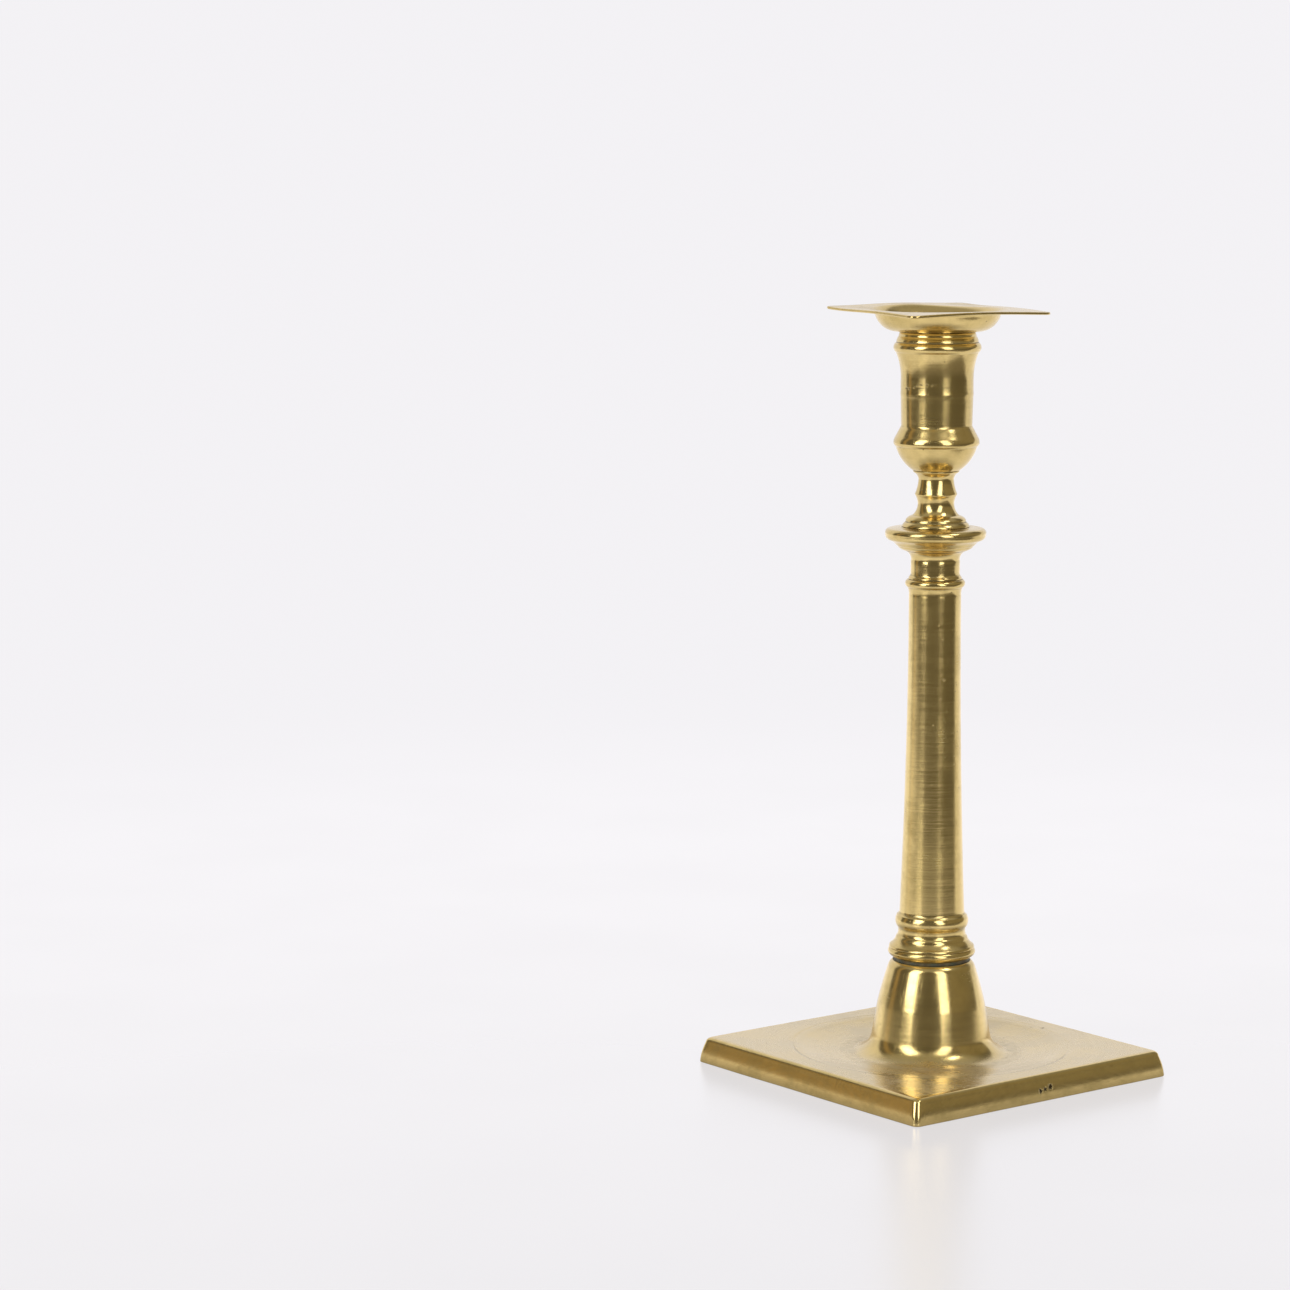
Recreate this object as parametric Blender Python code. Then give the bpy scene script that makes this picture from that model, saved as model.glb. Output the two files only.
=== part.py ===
"""Brass candlestick: a turned column on a square foot, with a lift-out nozzle.

The column is a stack of separately cast and turned sections.  Each section has a
tenon that enters the section below it, and one iron tie rod runs from the floor
of the candle socket down to a nut under the foot and clamps the whole stack.
The nozzle, a square drip pan brazed to a short tube, stands loose in the socket.

Units are metres, +Z is up, and the origin is the centre of the foot's underside.
"""

import math

import bmesh
import bpy
from mathutils import Matrix, Vector

MM = 0.001

# ---- fits -------------------------------------------------------------------
FIT_GAP = 0.30 * MM            # clearance between two pieces that touch
TENON_LENGTH = 4.0 * MM        # how far a tenon reaches into the next section
TENON_END_GAP = 0.5 * MM       # room left past the end of a tenon

# ---- turned detail --------------------------------------------------------------
SMALL_STEP = 0.30 * MM         # small square step where one moulding meets the next

# ---- tie rod, washer and nut --------------------------------------------------
ROD_RADIUS = 3.0 * MM
ROD_HOLE_GAP = 0.4 * MM        # the rod passes loosely through every section
ROD_HEAD_RADIUS = 6.6 * MM
ROD_HEAD_HEIGHT = 3.2 * MM
ROD_SLOT_WIDTH = 1.2 * MM
ROD_SLOT_DEPTH = 1.4 * MM
ROD_THREAD_PAST_NUT = 4.0 * MM
WASHER_RADIUS = 10.0 * MM
WASHER_THICKNESS = 1.8 * MM
NUT_SIDE = 12.0 * MM
NUT_HEIGHT = 5.0 * MM
NUT_CHAMFER = 0.8 * MM

# ---- foot ---------------------------------------------------------------------
FOOT_SIDE = 123.2 * MM         # across the flats, at the table
FOOT_EDGE_HEIGHT = 9.4 * MM    # table to the flat top near the edge
FOOT_SIDE_SLOPE = 1.7 * MM     # how far each side leans in, over its height
FOOT_TOP_ROUND = 1.8 * MM
FOOT_CORNER_RADIUS = 2.4 * MM
FOOT_BOTTOM_CHAMFER = 0.5 * MM
FOOT_RIM_WIDTH = 5.0 * MM      # width of the face that stands on the table
FOOT_WALL = 2.4 * MM
WELL_BORDER = 8.1 * MM         # flat border between the well and the foot's rounded edge
WELL_DEPTH = 2.6 * MM
BELL_HEIGHT = 41.5 * MM        # table to the top of the bell
BELL_TOP_RADIUS = 14.2 * MM
BELL_SHOULDER = 1.1 * MM
BELL_BASE_RADIUS = 22.1 * MM
BELL_FLARE = 5.4 * MM          # radius of the sweep from bell to well
BELL_SWELL = 1.1 * MM          # how far the bell's side bows out
BELL_WEB = 4.4 * MM            # thickness of metal at the top of the bell

# ---- base collar ----------------------------------------------------------------
COLLAR_HEIGHT = 4.4 * MM
COLLAR_RADIUS = 16.1 * MM
COLLAR_FOOT_RADIUS = 14.0 * MM
COLLAR_TOP_RADIUS = 15.6 * MM

# ---- shaft --------------------------------------------------------------------
SHAFT_LENGTH = 136.4 * MM      # shoulder to shoulder, without the tenon
SHAFT_TENON_RADIUS = 7.0 * MM
SHAFT_BASE_RADIUS = 15.6 * MM
SHAFT_SCOTIA_RADIUS = 12.3 * MM
SHAFT_BEAD_RADIUS = 13.4 * MM
SHAFT_FOOT_RADIUS = 11.9 * MM
SHAFT_NECK_RADIUS = 9.55 * MM
SHAFT_RING_RADIUS = 10.95 * MM
SHAFT_WALL = 3.2 * MM
SHAFT_BASE_COVE = 3.6 * MM     # height of the cove above the base shoulder
SHAFT_SCOTIA = 3.2 * MM        # height of the hollow between cove and bead
SHAFT_BEAD = 5.6 * MM          # height of the bead above the hollow
SHAFT_RING = 3.9 * MM          # height of the ring at the top of the shaft

# ---- neck ---------------------------------------------------------------------
NECK_HEIGHT = 10.2 * MM
NECK_TENON_RADIUS = 6.4 * MM
NECK_FOOT_RADIUS = 9.7 * MM
NECK_WAIST_RADIUS = 9.0 * MM
NECK_TOP_RADIUS = 11.3 * MM

# ---- flange -------------------------------------------------------------------
FLANGE_HEIGHT = 8.4 * MM
FLANGE_RADIUS = 18.4 * MM
FLANGE_FOOT_RADIUS = 11.4 * MM
FLANGE_TOP_RADIUS = 16.2 * MM
FLANGE_EDGE = 4.2 * MM         # thickness of the rounded edge

# ---- knop ---------------------------------------------------------------------
KNOP_HEIGHT = 20.2 * MM
KNOP_TENON_RADIUS = 5.2 * MM
KNOP_BASE_RADIUS = 12.3 * MM
KNOP_STEP_RADIUS = 10.8 * MM
KNOP_NECK_RADIUS = 6.7 * MM
KNOP_BEAD_RADIUS = 7.7 * MM
KNOP_WAIST_RADIUS = 6.4 * MM
KNOP_TOP_RADIUS = 8.5 * MM
KNOP_TOP_TENON = 3.4 * MM      # length of the tenon that enters the socket

# ---- socket -------------------------------------------------------------------
SOCKET_HEIGHT = 50.2 * MM
SOCKET_BORE_RADIUS = 11.4 * MM
SOCKET_FLOOR = 6.6 * MM        # thickness of metal under the bore
SOCKET_FOOT_RADIUS = 8.6 * MM
SOCKET_WALL = 1.75 * MM        # metal between the bore and the waist
SOCKET_BAND = 0.20 * MM        # how far each moulding stands proud of the waist
SOCKET_LIP = 0.65 * MM
SOCKET_LOW_BEAD = 2.55 * MM
SOCKET_TOP_BEAD = 2.85 * MM
SOCKET_LOW_BEAD_HEIGHT = 10.0 * MM
SOCKET_WAIST_FOOT = 16.2 * MM
SOCKET_BAND_FOOT = 20.2 * MM
SOCKET_BAND_TOP = 24.4 * MM
SOCKET_WAIST_HEAD = 33.0 * MM
SOCKET_TOP_BEAD_HEIGHT = 44.6 * MM
SOCKET_BEAD_WIDTH = 3.2 * MM
SOCKET_LIP_HEIGHT = 1.2 * MM

# ---- nozzle: pan and tube -------------------------------------------------------
PAN_SIDE = 60.0 * MM
PAN_CORNER_CUT = 2.6 * MM      # how much is filed off each sharp corner
PAN_SHEET = 1.0 * MM
PAN_DISH_RADIUS = 22.9 * MM
PAN_FLOOR_BORDER = 1.7 * MM    # flat floor left outside the tube's lip
PAN_DISH_DEPTH = 6.6 * MM
PAN_DISH_SWELL = 1.2 * MM
PAN_TURN = math.radians(-9.0)  # how the pan stands, turned from the foot
TUBE_WALL = 1.0 * MM
TUBE_LENGTH = 29.0 * MM        # below the pan's floor
TUBE_LIP_WIDTH = 1.6 * MM      # lip turned over on the pan's floor
TUBE_LIP_THICKNESS = 0.7 * MM

# ---- how finely round shapes are divided ------------------------------------------
STEM_SIDES = 32
FOOT_SIDES = 48
ROD_SIDES = 20
ARC_STEPS = 4
CORNER_STEPS = 4

# ---- places worked out from the sizes above -----------------------------------------
ROD_HOLE_RADIUS = ROD_RADIUS + ROD_HOLE_GAP
WELL_RADIUS = FOOT_SIDE / 2.0 - FOOT_SIDE_SLOPE - FOOT_TOP_ROUND - WELL_BORDER
COLLAR_SEAT = BELL_HEIGHT + FIT_GAP
SHAFT_SEAT = COLLAR_SEAT + COLLAR_HEIGHT + FIT_GAP
NECK_SEAT = SHAFT_SEAT + SHAFT_LENGTH + FIT_GAP
FLANGE_SEAT = NECK_SEAT + NECK_HEIGHT + FIT_GAP
KNOP_SEAT = FLANGE_SEAT + FLANGE_HEIGHT + FIT_GAP
SOCKET_SEAT = KNOP_SEAT + KNOP_HEIGHT + FIT_GAP
SOCKET_TOP = SOCKET_SEAT + SOCKET_HEIGHT
SOCKET_FLOOR_TOP = SOCKET_SEAT + SOCKET_FLOOR
PAN_SEAT = SOCKET_TOP + FIT_GAP
SOCKET_WAIST_RADIUS = SOCKET_BORE_RADIUS + SOCKET_WALL
SOCKET_BAND_RADIUS = SOCKET_WAIST_RADIUS + SOCKET_BAND
SOCKET_LIP_RADIUS = SOCKET_WAIST_RADIUS + SOCKET_LIP
SOCKET_LOW_BEAD_RADIUS = SOCKET_WAIST_RADIUS + SOCKET_LOW_BEAD
SOCKET_TOP_BEAD_RADIUS = SOCKET_WAIST_RADIUS + SOCKET_TOP_BEAD
TUBE_RADIUS = SOCKET_BORE_RADIUS - FIT_GAP
PAN_FLOOR_RADIUS = TUBE_RADIUS + TUBE_LIP_WIDTH + PAN_FLOOR_BORDER
WEB_UNDERSIDE = BELL_HEIGHT - BELL_WEB
WASHER_TOP = WEB_UNDERSIDE - FIT_GAP
NUT_TOP = WASHER_TOP - WASHER_THICKNESS - FIT_GAP
NUT_BOTTOM = NUT_TOP - NUT_HEIGHT

BRASS = {"name": "polished_brass", "color": (0.66, 0.50, 0.20), "metallic": 1.0, "roughness": 0.22}
CAST_BRASS = {"name": "dulled_brass", "color": (0.60, 0.47, 0.22), "metallic": 1.0, "roughness": 0.34}
SHEET_BRASS = {"name": "sheet_brass", "color": (0.70, 0.55, 0.25), "metallic": 1.0, "roughness": 0.26}
IRON = {"name": "dark_iron", "color": (0.10, 0.09, 0.08), "metallic": 1.0, "roughness": 0.60}


def clear_scene():
    """Remove whatever objects the file opened with."""
    for thing in list(bpy.data.objects):
        bpy.data.objects.remove(thing, do_unlink=True)


def dress(thing, finish):
    """Give an object its metal."""
    material = bpy.data.materials.new(thing.name + "_" + finish["name"])
    material.use_nodes = True
    shader = material.node_tree.nodes["Principled BSDF"]
    shader.inputs["Base Color"].default_value = (*finish["color"], 1.0)
    shader.inputs["Metallic"].default_value = finish["metallic"]
    shader.inputs["Roughness"].default_value = finish["roughness"]
    thing.data.materials.append(material)


def finish_object(name, bm, finish, smooth=True):
    """Turn a bmesh into a named, dressed object with its faces pointing out."""
    bmesh.ops.remove_doubles(bm, verts=bm.verts, dist=1e-6)
    bmesh.ops.recalc_face_normals(bm, faces=bm.faces)
    mesh = bpy.data.meshes.new(name)
    bm.to_mesh(mesh)
    bm.free()
    thing = bpy.data.objects.new(name, mesh)
    bpy.context.scene.collection.objects.link(thing)
    if smooth:
        mesh.shade_smooth()
        mesh.set_sharp_from_angle(angle=math.radians(35.0))
    dress(thing, finish)
    return thing


def arc(start, end, sagitta, steps=ARC_STEPS):
    """Points of a circular arc; a positive sagitta bows to the left of the way it runs."""
    start, end = Vector(start), Vector(end)
    chord = end - start
    half = chord.length / 2.0
    left = Vector((-chord.y, chord.x)).normalized()
    radius = (half * half + sagitta * sagitta) / (2.0 * abs(sagitta))
    side = math.copysign(1.0, sagitta)
    centre = (start + end) / 2.0 + left * side * (abs(sagitta) - radius)
    sweep = 2.0 * math.asin(min(1.0, half / radius))
    if abs(sagitta) > half:
        sweep = 2.0 * math.pi - sweep
    spoke = start - centre
    points = []
    for step in range(steps + 1):
        turn = -side * sweep * step / steps
        arm = Vector((
            spoke.x * math.cos(turn) - spoke.y * math.sin(turn),
            spoke.x * math.sin(turn) + spoke.y * math.cos(turn),
        ))
        points.append(tuple(centre + arm))
    return points


def tidy_outline(points):
    """Drop points that repeat the one before them."""
    kept = []
    for point in points:
        if not kept or (Vector(point) - Vector(kept[-1])).length > 1e-6:
            kept.append(point)
    if (Vector(kept[0]) - Vector(kept[-1])).length < 1e-6:
        kept.pop()
    return kept


def turn_solid(name, outline, finish, sides=STEM_SIDES):
    """Spin a closed (radius, height) outline about the Z axis into one solid."""
    bm = bmesh.new()
    verts = [bm.verts.new((radius, 0.0, height)) for radius, height in tidy_outline(outline)]
    edges = [bm.edges.new((verts[i - 1], verts[i])) for i in range(len(verts))]
    bmesh.ops.spin(
        bm, geom=verts + edges, cent=(0, 0, 0), axis=(0, 0, 1),
        angle=2.0 * math.pi, steps=sides, use_merge=True,
    )
    return finish_object(name, bm, finish)


def round_ring(radius, height, sides):
    """A ring of evenly spaced points, starting on the middle of the +X side."""
    ring = []
    for step in range(sides):
        angle = 2.0 * math.pi * step / sides
        ring.append((radius * math.cos(angle), radius * math.sin(angle), height))
    return ring


def square_ring(half_side, corner_radius, height, sides):
    """A rounded square with as many points as a round ring, starting at the same place."""
    per_quarter = sides // 4
    flat_steps = (per_quarter - CORNER_STEPS) // 2
    inner = half_side - corner_radius
    quarter_points = [(half_side, inner * step / flat_steps) for step in range(flat_steps)]
    for step in range(CORNER_STEPS + 1):
        angle = math.pi / 2.0 * step / CORNER_STEPS
        reach = inner + corner_radius * math.cos(angle)
        rise = inner + corner_radius * math.sin(angle)
        quarter_points.append((reach, rise))
    quarter_points += [(inner * step / flat_steps, half_side) for step in range(flat_steps - 1, 0, -1)]
    ring = []
    for quarter in range(4):
        turn = Matrix.Rotation(math.pi / 2.0 * quarter, 2)
        ring += [(*(turn @ Vector(point)), height) for point in quarter_points]
    return ring


def clipped_ring(half_side, corner_cut, height, sides):
    """A square with filed-off corners, with as many points as a round ring."""
    per_quarter = sides // 4
    flat_steps = (per_quarter - 2) // 2
    inner = half_side - corner_cut
    middle = half_side - corner_cut / 2.0
    quarter_points = [(half_side, inner * step / flat_steps) for step in range(flat_steps + 1)]
    quarter_points += [(middle, middle)]
    quarter_points += [(inner * step / flat_steps, half_side) for step in range(flat_steps, 0, -1)]
    ring = []
    for quarter in range(4):
        turn = Matrix.Rotation(math.pi / 2.0 * quarter, 2)
        ring += [(*(turn @ Vector(point)), height) for point in quarter_points]
    return ring


def skin_rings(name, rings, finish):
    """Join a closed sequence of point rings, each to the next, into one solid."""
    bm = bmesh.new()
    rows = [[bm.verts.new(point) for point in ring] for ring in rings]
    count = len(rows[0])
    for index, row in enumerate(rows):
        following = rows[(index + 1) % len(rows)]
        for step in range(count):
            after = (step + 1) % count
            bm.faces.new((row[step], row[after], following[after], following[step]))
    return finish_object(name, bm, finish)


def cut_away(thing, cutter):
    """Cut one object's shape out of another and keep the cutter as a guide."""
    cutter.hide_render = True
    cutter.display_type = "WIRE"
    cut = thing.modifiers.new("cut_" + cutter.name, "BOOLEAN")
    cut.operation = "DIFFERENCE"
    cut.solver = "EXACT"
    cut.object = cutter


def make_foot():
    """Square cast foot with a sunk round well, a hollow bell and a hollow underside."""
    top = FOOT_EDGE_HEIGHT
    well = top - WELL_DEPTH
    half = FOOT_SIDE / 2.0
    lean = FOOT_SIDE_SLOPE
    tenon_hole = SHAFT_TENON_RADIUS + FIT_GAP
    shoulder = (BELL_TOP_RADIUS + BELL_SHOULDER, BELL_HEIGHT - BELL_SHOULDER)
    base = (BELL_BASE_RADIUS, well + BELL_FLARE)
    floor = (BELL_BASE_RADIUS + BELL_FLARE, well)

    outside = [(tenon_hole, BELL_HEIGHT)]
    outside += arc((BELL_TOP_RADIUS, BELL_HEIGHT), shoulder, BELL_SHOULDER * 0.2, 2)
    outside += arc(shoulder, base, BELL_SWELL, 6)[1:]
    outside += arc(base, floor, -BELL_FLARE * 0.29, 4)[1:]
    outside += arc(floor, (WELL_RADIUS, top), -WELL_DEPTH * 0.35, 4)[1:]

    rings = [round_ring(radius, height, FOOT_SIDES) for radius, height in outside]
    edge_half = half - lean
    for step in range(3):
        angle = math.pi / 2.0 * step / 2
        inset = FOOT_TOP_ROUND * (1.0 - math.sin(angle))
        drop = FOOT_TOP_ROUND * (1.0 - math.cos(angle))
        rings.append(square_ring(edge_half - inset, FOOT_CORNER_RADIUS, top - drop, FOOT_SIDES))
    rings.append(square_ring(half, FOOT_CORNER_RADIUS, FOOT_BOTTOM_CHAMFER, FOOT_SIDES))
    rings.append(square_ring(half - FOOT_BOTTOM_CHAMFER, FOOT_CORNER_RADIUS, 0.0, FOOT_SIDES))
    rim = half - FOOT_RIM_WIDTH
    tray = top - FOOT_WALL
    boss = well - FOOT_WALL
    rings.append(square_ring(rim, FOOT_CORNER_RADIUS, 0.0, FOOT_SIDES))
    rings.append(square_ring(rim - FOOT_WALL * 0.2, FOOT_CORNER_RADIUS, tray, FOOT_SIDES))

    inside = [(WELL_RADIUS + FOOT_WALL, tray), (WELL_RADIUS, boss)]
    inner_shoulder = (BELL_TOP_RADIUS - FOOT_WALL * 0.5, WEB_UNDERSIDE)
    inner_floor = (BELL_BASE_RADIUS + BELL_FLARE - FOOT_WALL, boss)
    inner_base = (BELL_BASE_RADIUS - FOOT_WALL, boss + BELL_FLARE)
    inside += arc(inner_floor, inner_base, BELL_FLARE * 0.29, 3)
    inside += arc(inner_base, inner_shoulder, -BELL_SWELL, 4)[1:]
    inside += [(tenon_hole, WEB_UNDERSIDE)]
    rings += [round_ring(radius, height, FOOT_SIDES) for radius, height in inside]
    return skin_rings("foot", rings, CAST_BRASS)


def make_base_collar():
    """Ring that hides the joint between bell and shaft; the shaft's tenon runs through it."""
    low = COLLAR_SEAT
    high = low + COLLAR_HEIGHT
    hole = SHAFT_TENON_RADIUS + FIT_GAP
    outline = [(hole, high)]
    widest = (COLLAR_RADIUS, high - COLLAR_HEIGHT * 0.33)
    outline += arc((COLLAR_TOP_RADIUS, high), widest, COLLAR_HEIGHT * 0.05, 3)
    outline += arc(widest, (COLLAR_FOOT_RADIUS, low), COLLAR_HEIGHT * 0.12, 4)[1:]
    outline += [(hole, low)]
    return turn_solid("base_collar", outline, BRASS)


def shaft_outside():
    """Outline of the shaft's outer side, from the top ring down to the base shoulder."""
    low = SHAFT_SEAT
    high = low + SHAFT_LENGTH
    ring_foot = high - SHAFT_RING
    cove_top = low + SHAFT_BASE_COVE
    scotia_top = cove_top + SHAFT_SCOTIA
    bead_top = scotia_top + SHAFT_BEAD
    ring_swell = SHAFT_RING_RADIUS - SHAFT_NECK_RADIUS
    ring_end = (SHAFT_NECK_RADIUS + ring_swell * 0.4, ring_foot + SHAFT_RING * 0.25)
    outline = arc((NECK_FOOT_RADIUS, high), ring_end, ring_swell * 0.7)
    taper_start = (SHAFT_NECK_RADIUS, ring_foot - SHAFT_RING * 0.2)
    taper_end = (SHAFT_FOOT_RADIUS, bead_top)
    taper_bow = (SHAFT_FOOT_RADIUS - SHAFT_NECK_RADIUS) * 0.22
    outline += arc(taper_start, taper_end, -taper_bow, 6)
    bead_swell = SHAFT_BEAD_RADIUS - SHAFT_FOOT_RADIUS
    bead_start = (SHAFT_FOOT_RADIUS + SMALL_STEP, bead_top - SMALL_STEP)
    bead_end = (SHAFT_SCOTIA_RADIUS, scotia_top)
    outline += arc(bead_start, bead_end, bead_swell, 6)
    scotia_end = (SHAFT_SCOTIA_RADIUS + SMALL_STEP, cove_top)
    outline += arc(bead_end, scotia_end, -SHAFT_SCOTIA * 0.11, 3)[1:]
    cove_start = (SHAFT_SCOTIA_RADIUS + 3.0 * SMALL_STEP, cove_top)
    outline += arc(cove_start, (SHAFT_BASE_RADIUS, low), SHAFT_BASE_COVE * 0.12, 4)
    return outline


def make_shaft():
    """Tapered hollow column with its base mouldings, top ring and bottom tenon."""
    low = SHAFT_SEAT
    high = low + SHAFT_LENGTH
    recess = NECK_TENON_RADIUS + FIT_GAP
    recess_floor = high - TENON_LENGTH - TENON_END_GAP
    tenon_end = BELL_HEIGHT - TENON_LENGTH
    core_top = recess_floor - TENON_LENGTH
    core_foot = low + SHAFT_BASE_COVE
    outline = [(recess, high)]
    outline += shaft_outside()
    outline += [
        (SHAFT_TENON_RADIUS, low),
        (SHAFT_TENON_RADIUS, tenon_end),
        (ROD_HOLE_RADIUS, tenon_end),
        (ROD_HOLE_RADIUS, core_foot),
        (SHAFT_FOOT_RADIUS - SHAFT_WALL, core_foot + TENON_LENGTH),
        (SHAFT_NECK_RADIUS - SHAFT_WALL, core_top - TENON_LENGTH),
        (ROD_HOLE_RADIUS, core_top),
        (ROD_HOLE_RADIUS, recess_floor),
        (recess, recess_floor),
    ]
    return turn_solid("shaft", outline, BRASS)


def make_neck():
    """Waisted neck above the shaft, tenoned into it and recessed for the knop's tenon."""
    low = NECK_SEAT
    high = low + NECK_HEIGHT
    recess = KNOP_TENON_RADIUS + FIT_GAP
    recess_floor = high - TENON_LENGTH - TENON_END_GAP
    foot_lip = low + NECK_HEIGHT * 0.09
    waist_top = low + NECK_HEIGHT * 0.62
    outline = [(recess, high)]
    outline += arc((NECK_TOP_RADIUS, high), (NECK_WAIST_RADIUS, waist_top), -NECK_HEIGHT * 0.074, 5)
    outline += [
        (NECK_WAIST_RADIUS, foot_lip + SMALL_STEP * 2.0),
        (NECK_FOOT_RADIUS, foot_lip - SMALL_STEP),
        (NECK_FOOT_RADIUS, low),
        (NECK_TENON_RADIUS, low),
        (NECK_TENON_RADIUS, low - TENON_LENGTH - FIT_GAP),
        (ROD_HOLE_RADIUS, low - TENON_LENGTH - FIT_GAP),
        (ROD_HOLE_RADIUS, recess_floor),
        (recess, recess_floor),
    ]
    return turn_solid("neck", outline, BRASS)


def make_flange():
    """Wide rounded disc between neck and knop; the knop's tenon runs through it."""
    low = FLANGE_SEAT
    high = low + FLANGE_HEIGHT
    hole = KNOP_TENON_RADIUS + FIT_GAP
    edge_top = high - SMALL_STEP
    edge_foot = edge_top - FLANGE_EDGE
    step_radius = (FLANGE_FOOT_RADIUS + FLANGE_RADIUS) / 2.0
    outline = [(hole, high), (FLANGE_TOP_RADIUS, high)]
    widest = (FLANGE_RADIUS, edge_top - FLANGE_EDGE * 0.5)
    outline += arc((FLANGE_TOP_RADIUS + SMALL_STEP, edge_top), widest, FLANGE_EDGE * 0.17, 4)
    outline += arc(widest, (step_radius + 3.0 * SMALL_STEP, edge_foot), FLANGE_EDGE * 0.14, 4)[1:]
    ogee_start = (step_radius, edge_foot - SMALL_STEP)
    outline += arc(ogee_start, (FLANGE_FOOT_RADIUS, low), FLANGE_HEIGHT * 0.06, 4)
    outline += [(hole, low)]
    return turn_solid("flange", outline, BRASS)


def make_knop():
    """Baluster under the socket, with a stepped base, a waist and a small bead."""
    low = KNOP_SEAT
    high = low + KNOP_HEIGHT
    tenon_end = NECK_SEAT + NECK_HEIGHT - TENON_LENGTH
    top_tenon = high + KNOP_TOP_TENON
    step = KNOP_HEIGHT * 0.10
    neck_foot = low + KNOP_HEIGHT * 0.33
    bead = low + KNOP_HEIGHT * 0.57
    waist = low + KNOP_HEIGHT * 0.78
    outline = [(ROD_HOLE_RADIUS, top_tenon), (KNOP_TENON_RADIUS, top_tenon), (KNOP_TENON_RADIUS, high)]
    outline += arc((KNOP_TOP_RADIUS, high), (KNOP_WAIST_RADIUS, waist), -KNOP_HEIGHT * 0.02, 4)
    bead_top = (KNOP_BEAD_RADIUS, bead + SMALL_STEP * 2.0)
    outline += arc((KNOP_WAIST_RADIUS, waist), bead_top, -KNOP_HEIGHT * 0.015, 3)[1:]
    neck_end = (KNOP_NECK_RADIUS, neck_foot + step)
    outline += arc((KNOP_BEAD_RADIUS, bead), neck_end, KNOP_HEIGHT * 0.0075, 3)
    outline += arc(neck_end, (KNOP_STEP_RADIUS, low + step), -KNOP_HEIGHT * 0.06, 5)[1:]
    step_start = (KNOP_STEP_RADIUS + SMALL_STEP, low + step)
    outline += arc(step_start, (KNOP_BASE_RADIUS, low), KNOP_HEIGHT * 0.015, 3)
    outline += [
        (KNOP_TENON_RADIUS, low),
        (KNOP_TENON_RADIUS, tenon_end),
        (ROD_HOLE_RADIUS, tenon_end),
    ]
    return turn_solid("knop", outline, BRASS)


def socket_outside():
    """Outline of the socket's outer side, from the lip down to its foot."""
    low = SOCKET_SEAT
    top_bead = low + SOCKET_TOP_BEAD_HEIGHT
    low_bead = low + SOCKET_LOW_BEAD_HEIGHT
    half_bead = SOCKET_BEAD_WIDTH / 2.0
    bead_swell = SOCKET_BEAD_WIDTH * 0.25
    top_bead_edge = SOCKET_TOP_BEAD_RADIUS - bead_swell
    low_bead_edge = SOCKET_LOW_BEAD_RADIUS - bead_swell

    lip_foot = (SOCKET_LIP_RADIUS, SOCKET_TOP - SOCKET_LIP_HEIGHT)
    outline = [(SOCKET_LIP_RADIUS, SOCKET_TOP)]
    outline += arc(lip_foot, (top_bead_edge - SMALL_STEP, top_bead + half_bead), -SMALL_STEP, 3)
    bead_end = (top_bead_edge, top_bead - half_bead)
    outline += arc((top_bead_edge, top_bead + half_bead), bead_end, bead_swell, 4)
    waist_head = (SOCKET_WAIST_RADIUS, low + SOCKET_WAIST_HEAD)
    outline += arc((top_bead_edge - SMALL_STEP, top_bead - half_bead), waist_head, -SMALL_STEP * 1.5, 4)
    outline += [
        (SOCKET_WAIST_RADIUS, low + SOCKET_BAND_TOP),
        (SOCKET_BAND_RADIUS, low + SOCKET_BAND_TOP - SMALL_STEP),
        (SOCKET_BAND_RADIUS, low + SOCKET_BAND_FOOT + SMALL_STEP),
        (SOCKET_WAIST_RADIUS, low + SOCKET_BAND_FOOT),
    ]
    waist_foot = (SOCKET_WAIST_RADIUS, low + SOCKET_WAIST_FOOT)
    outline += arc(waist_foot, (low_bead_edge, low_bead + half_bead), -SMALL_STEP * 0.5, 4)
    bead_end = (low_bead_edge, low_bead - half_bead)
    outline += arc((low_bead_edge, low_bead + half_bead), bead_end, bead_swell, 4)[1:]
    outline += arc(bead_end, (SOCKET_FOOT_RADIUS, low), SOCKET_LOW_BEAD_HEIGHT * 0.06, 6)[1:]
    return outline


def make_socket():
    """Candle socket: a beaded cup with a straight bore and a thick floor."""
    low = SOCKET_SEAT
    recess = KNOP_TENON_RADIUS + FIT_GAP
    recess_top = low - FIT_GAP + KNOP_TOP_TENON + TENON_END_GAP
    outline = [(SOCKET_BORE_RADIUS, SOCKET_TOP)]
    outline += socket_outside()
    outline += [
        (recess, low),
        (recess, recess_top),
        (ROD_HOLE_RADIUS, recess_top),
        (ROD_HOLE_RADIUS, SOCKET_FLOOR_TOP),
        (SOCKET_BORE_RADIUS, SOCKET_FLOOR_TOP),
    ]
    return turn_solid("socket", outline, BRASS)


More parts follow.
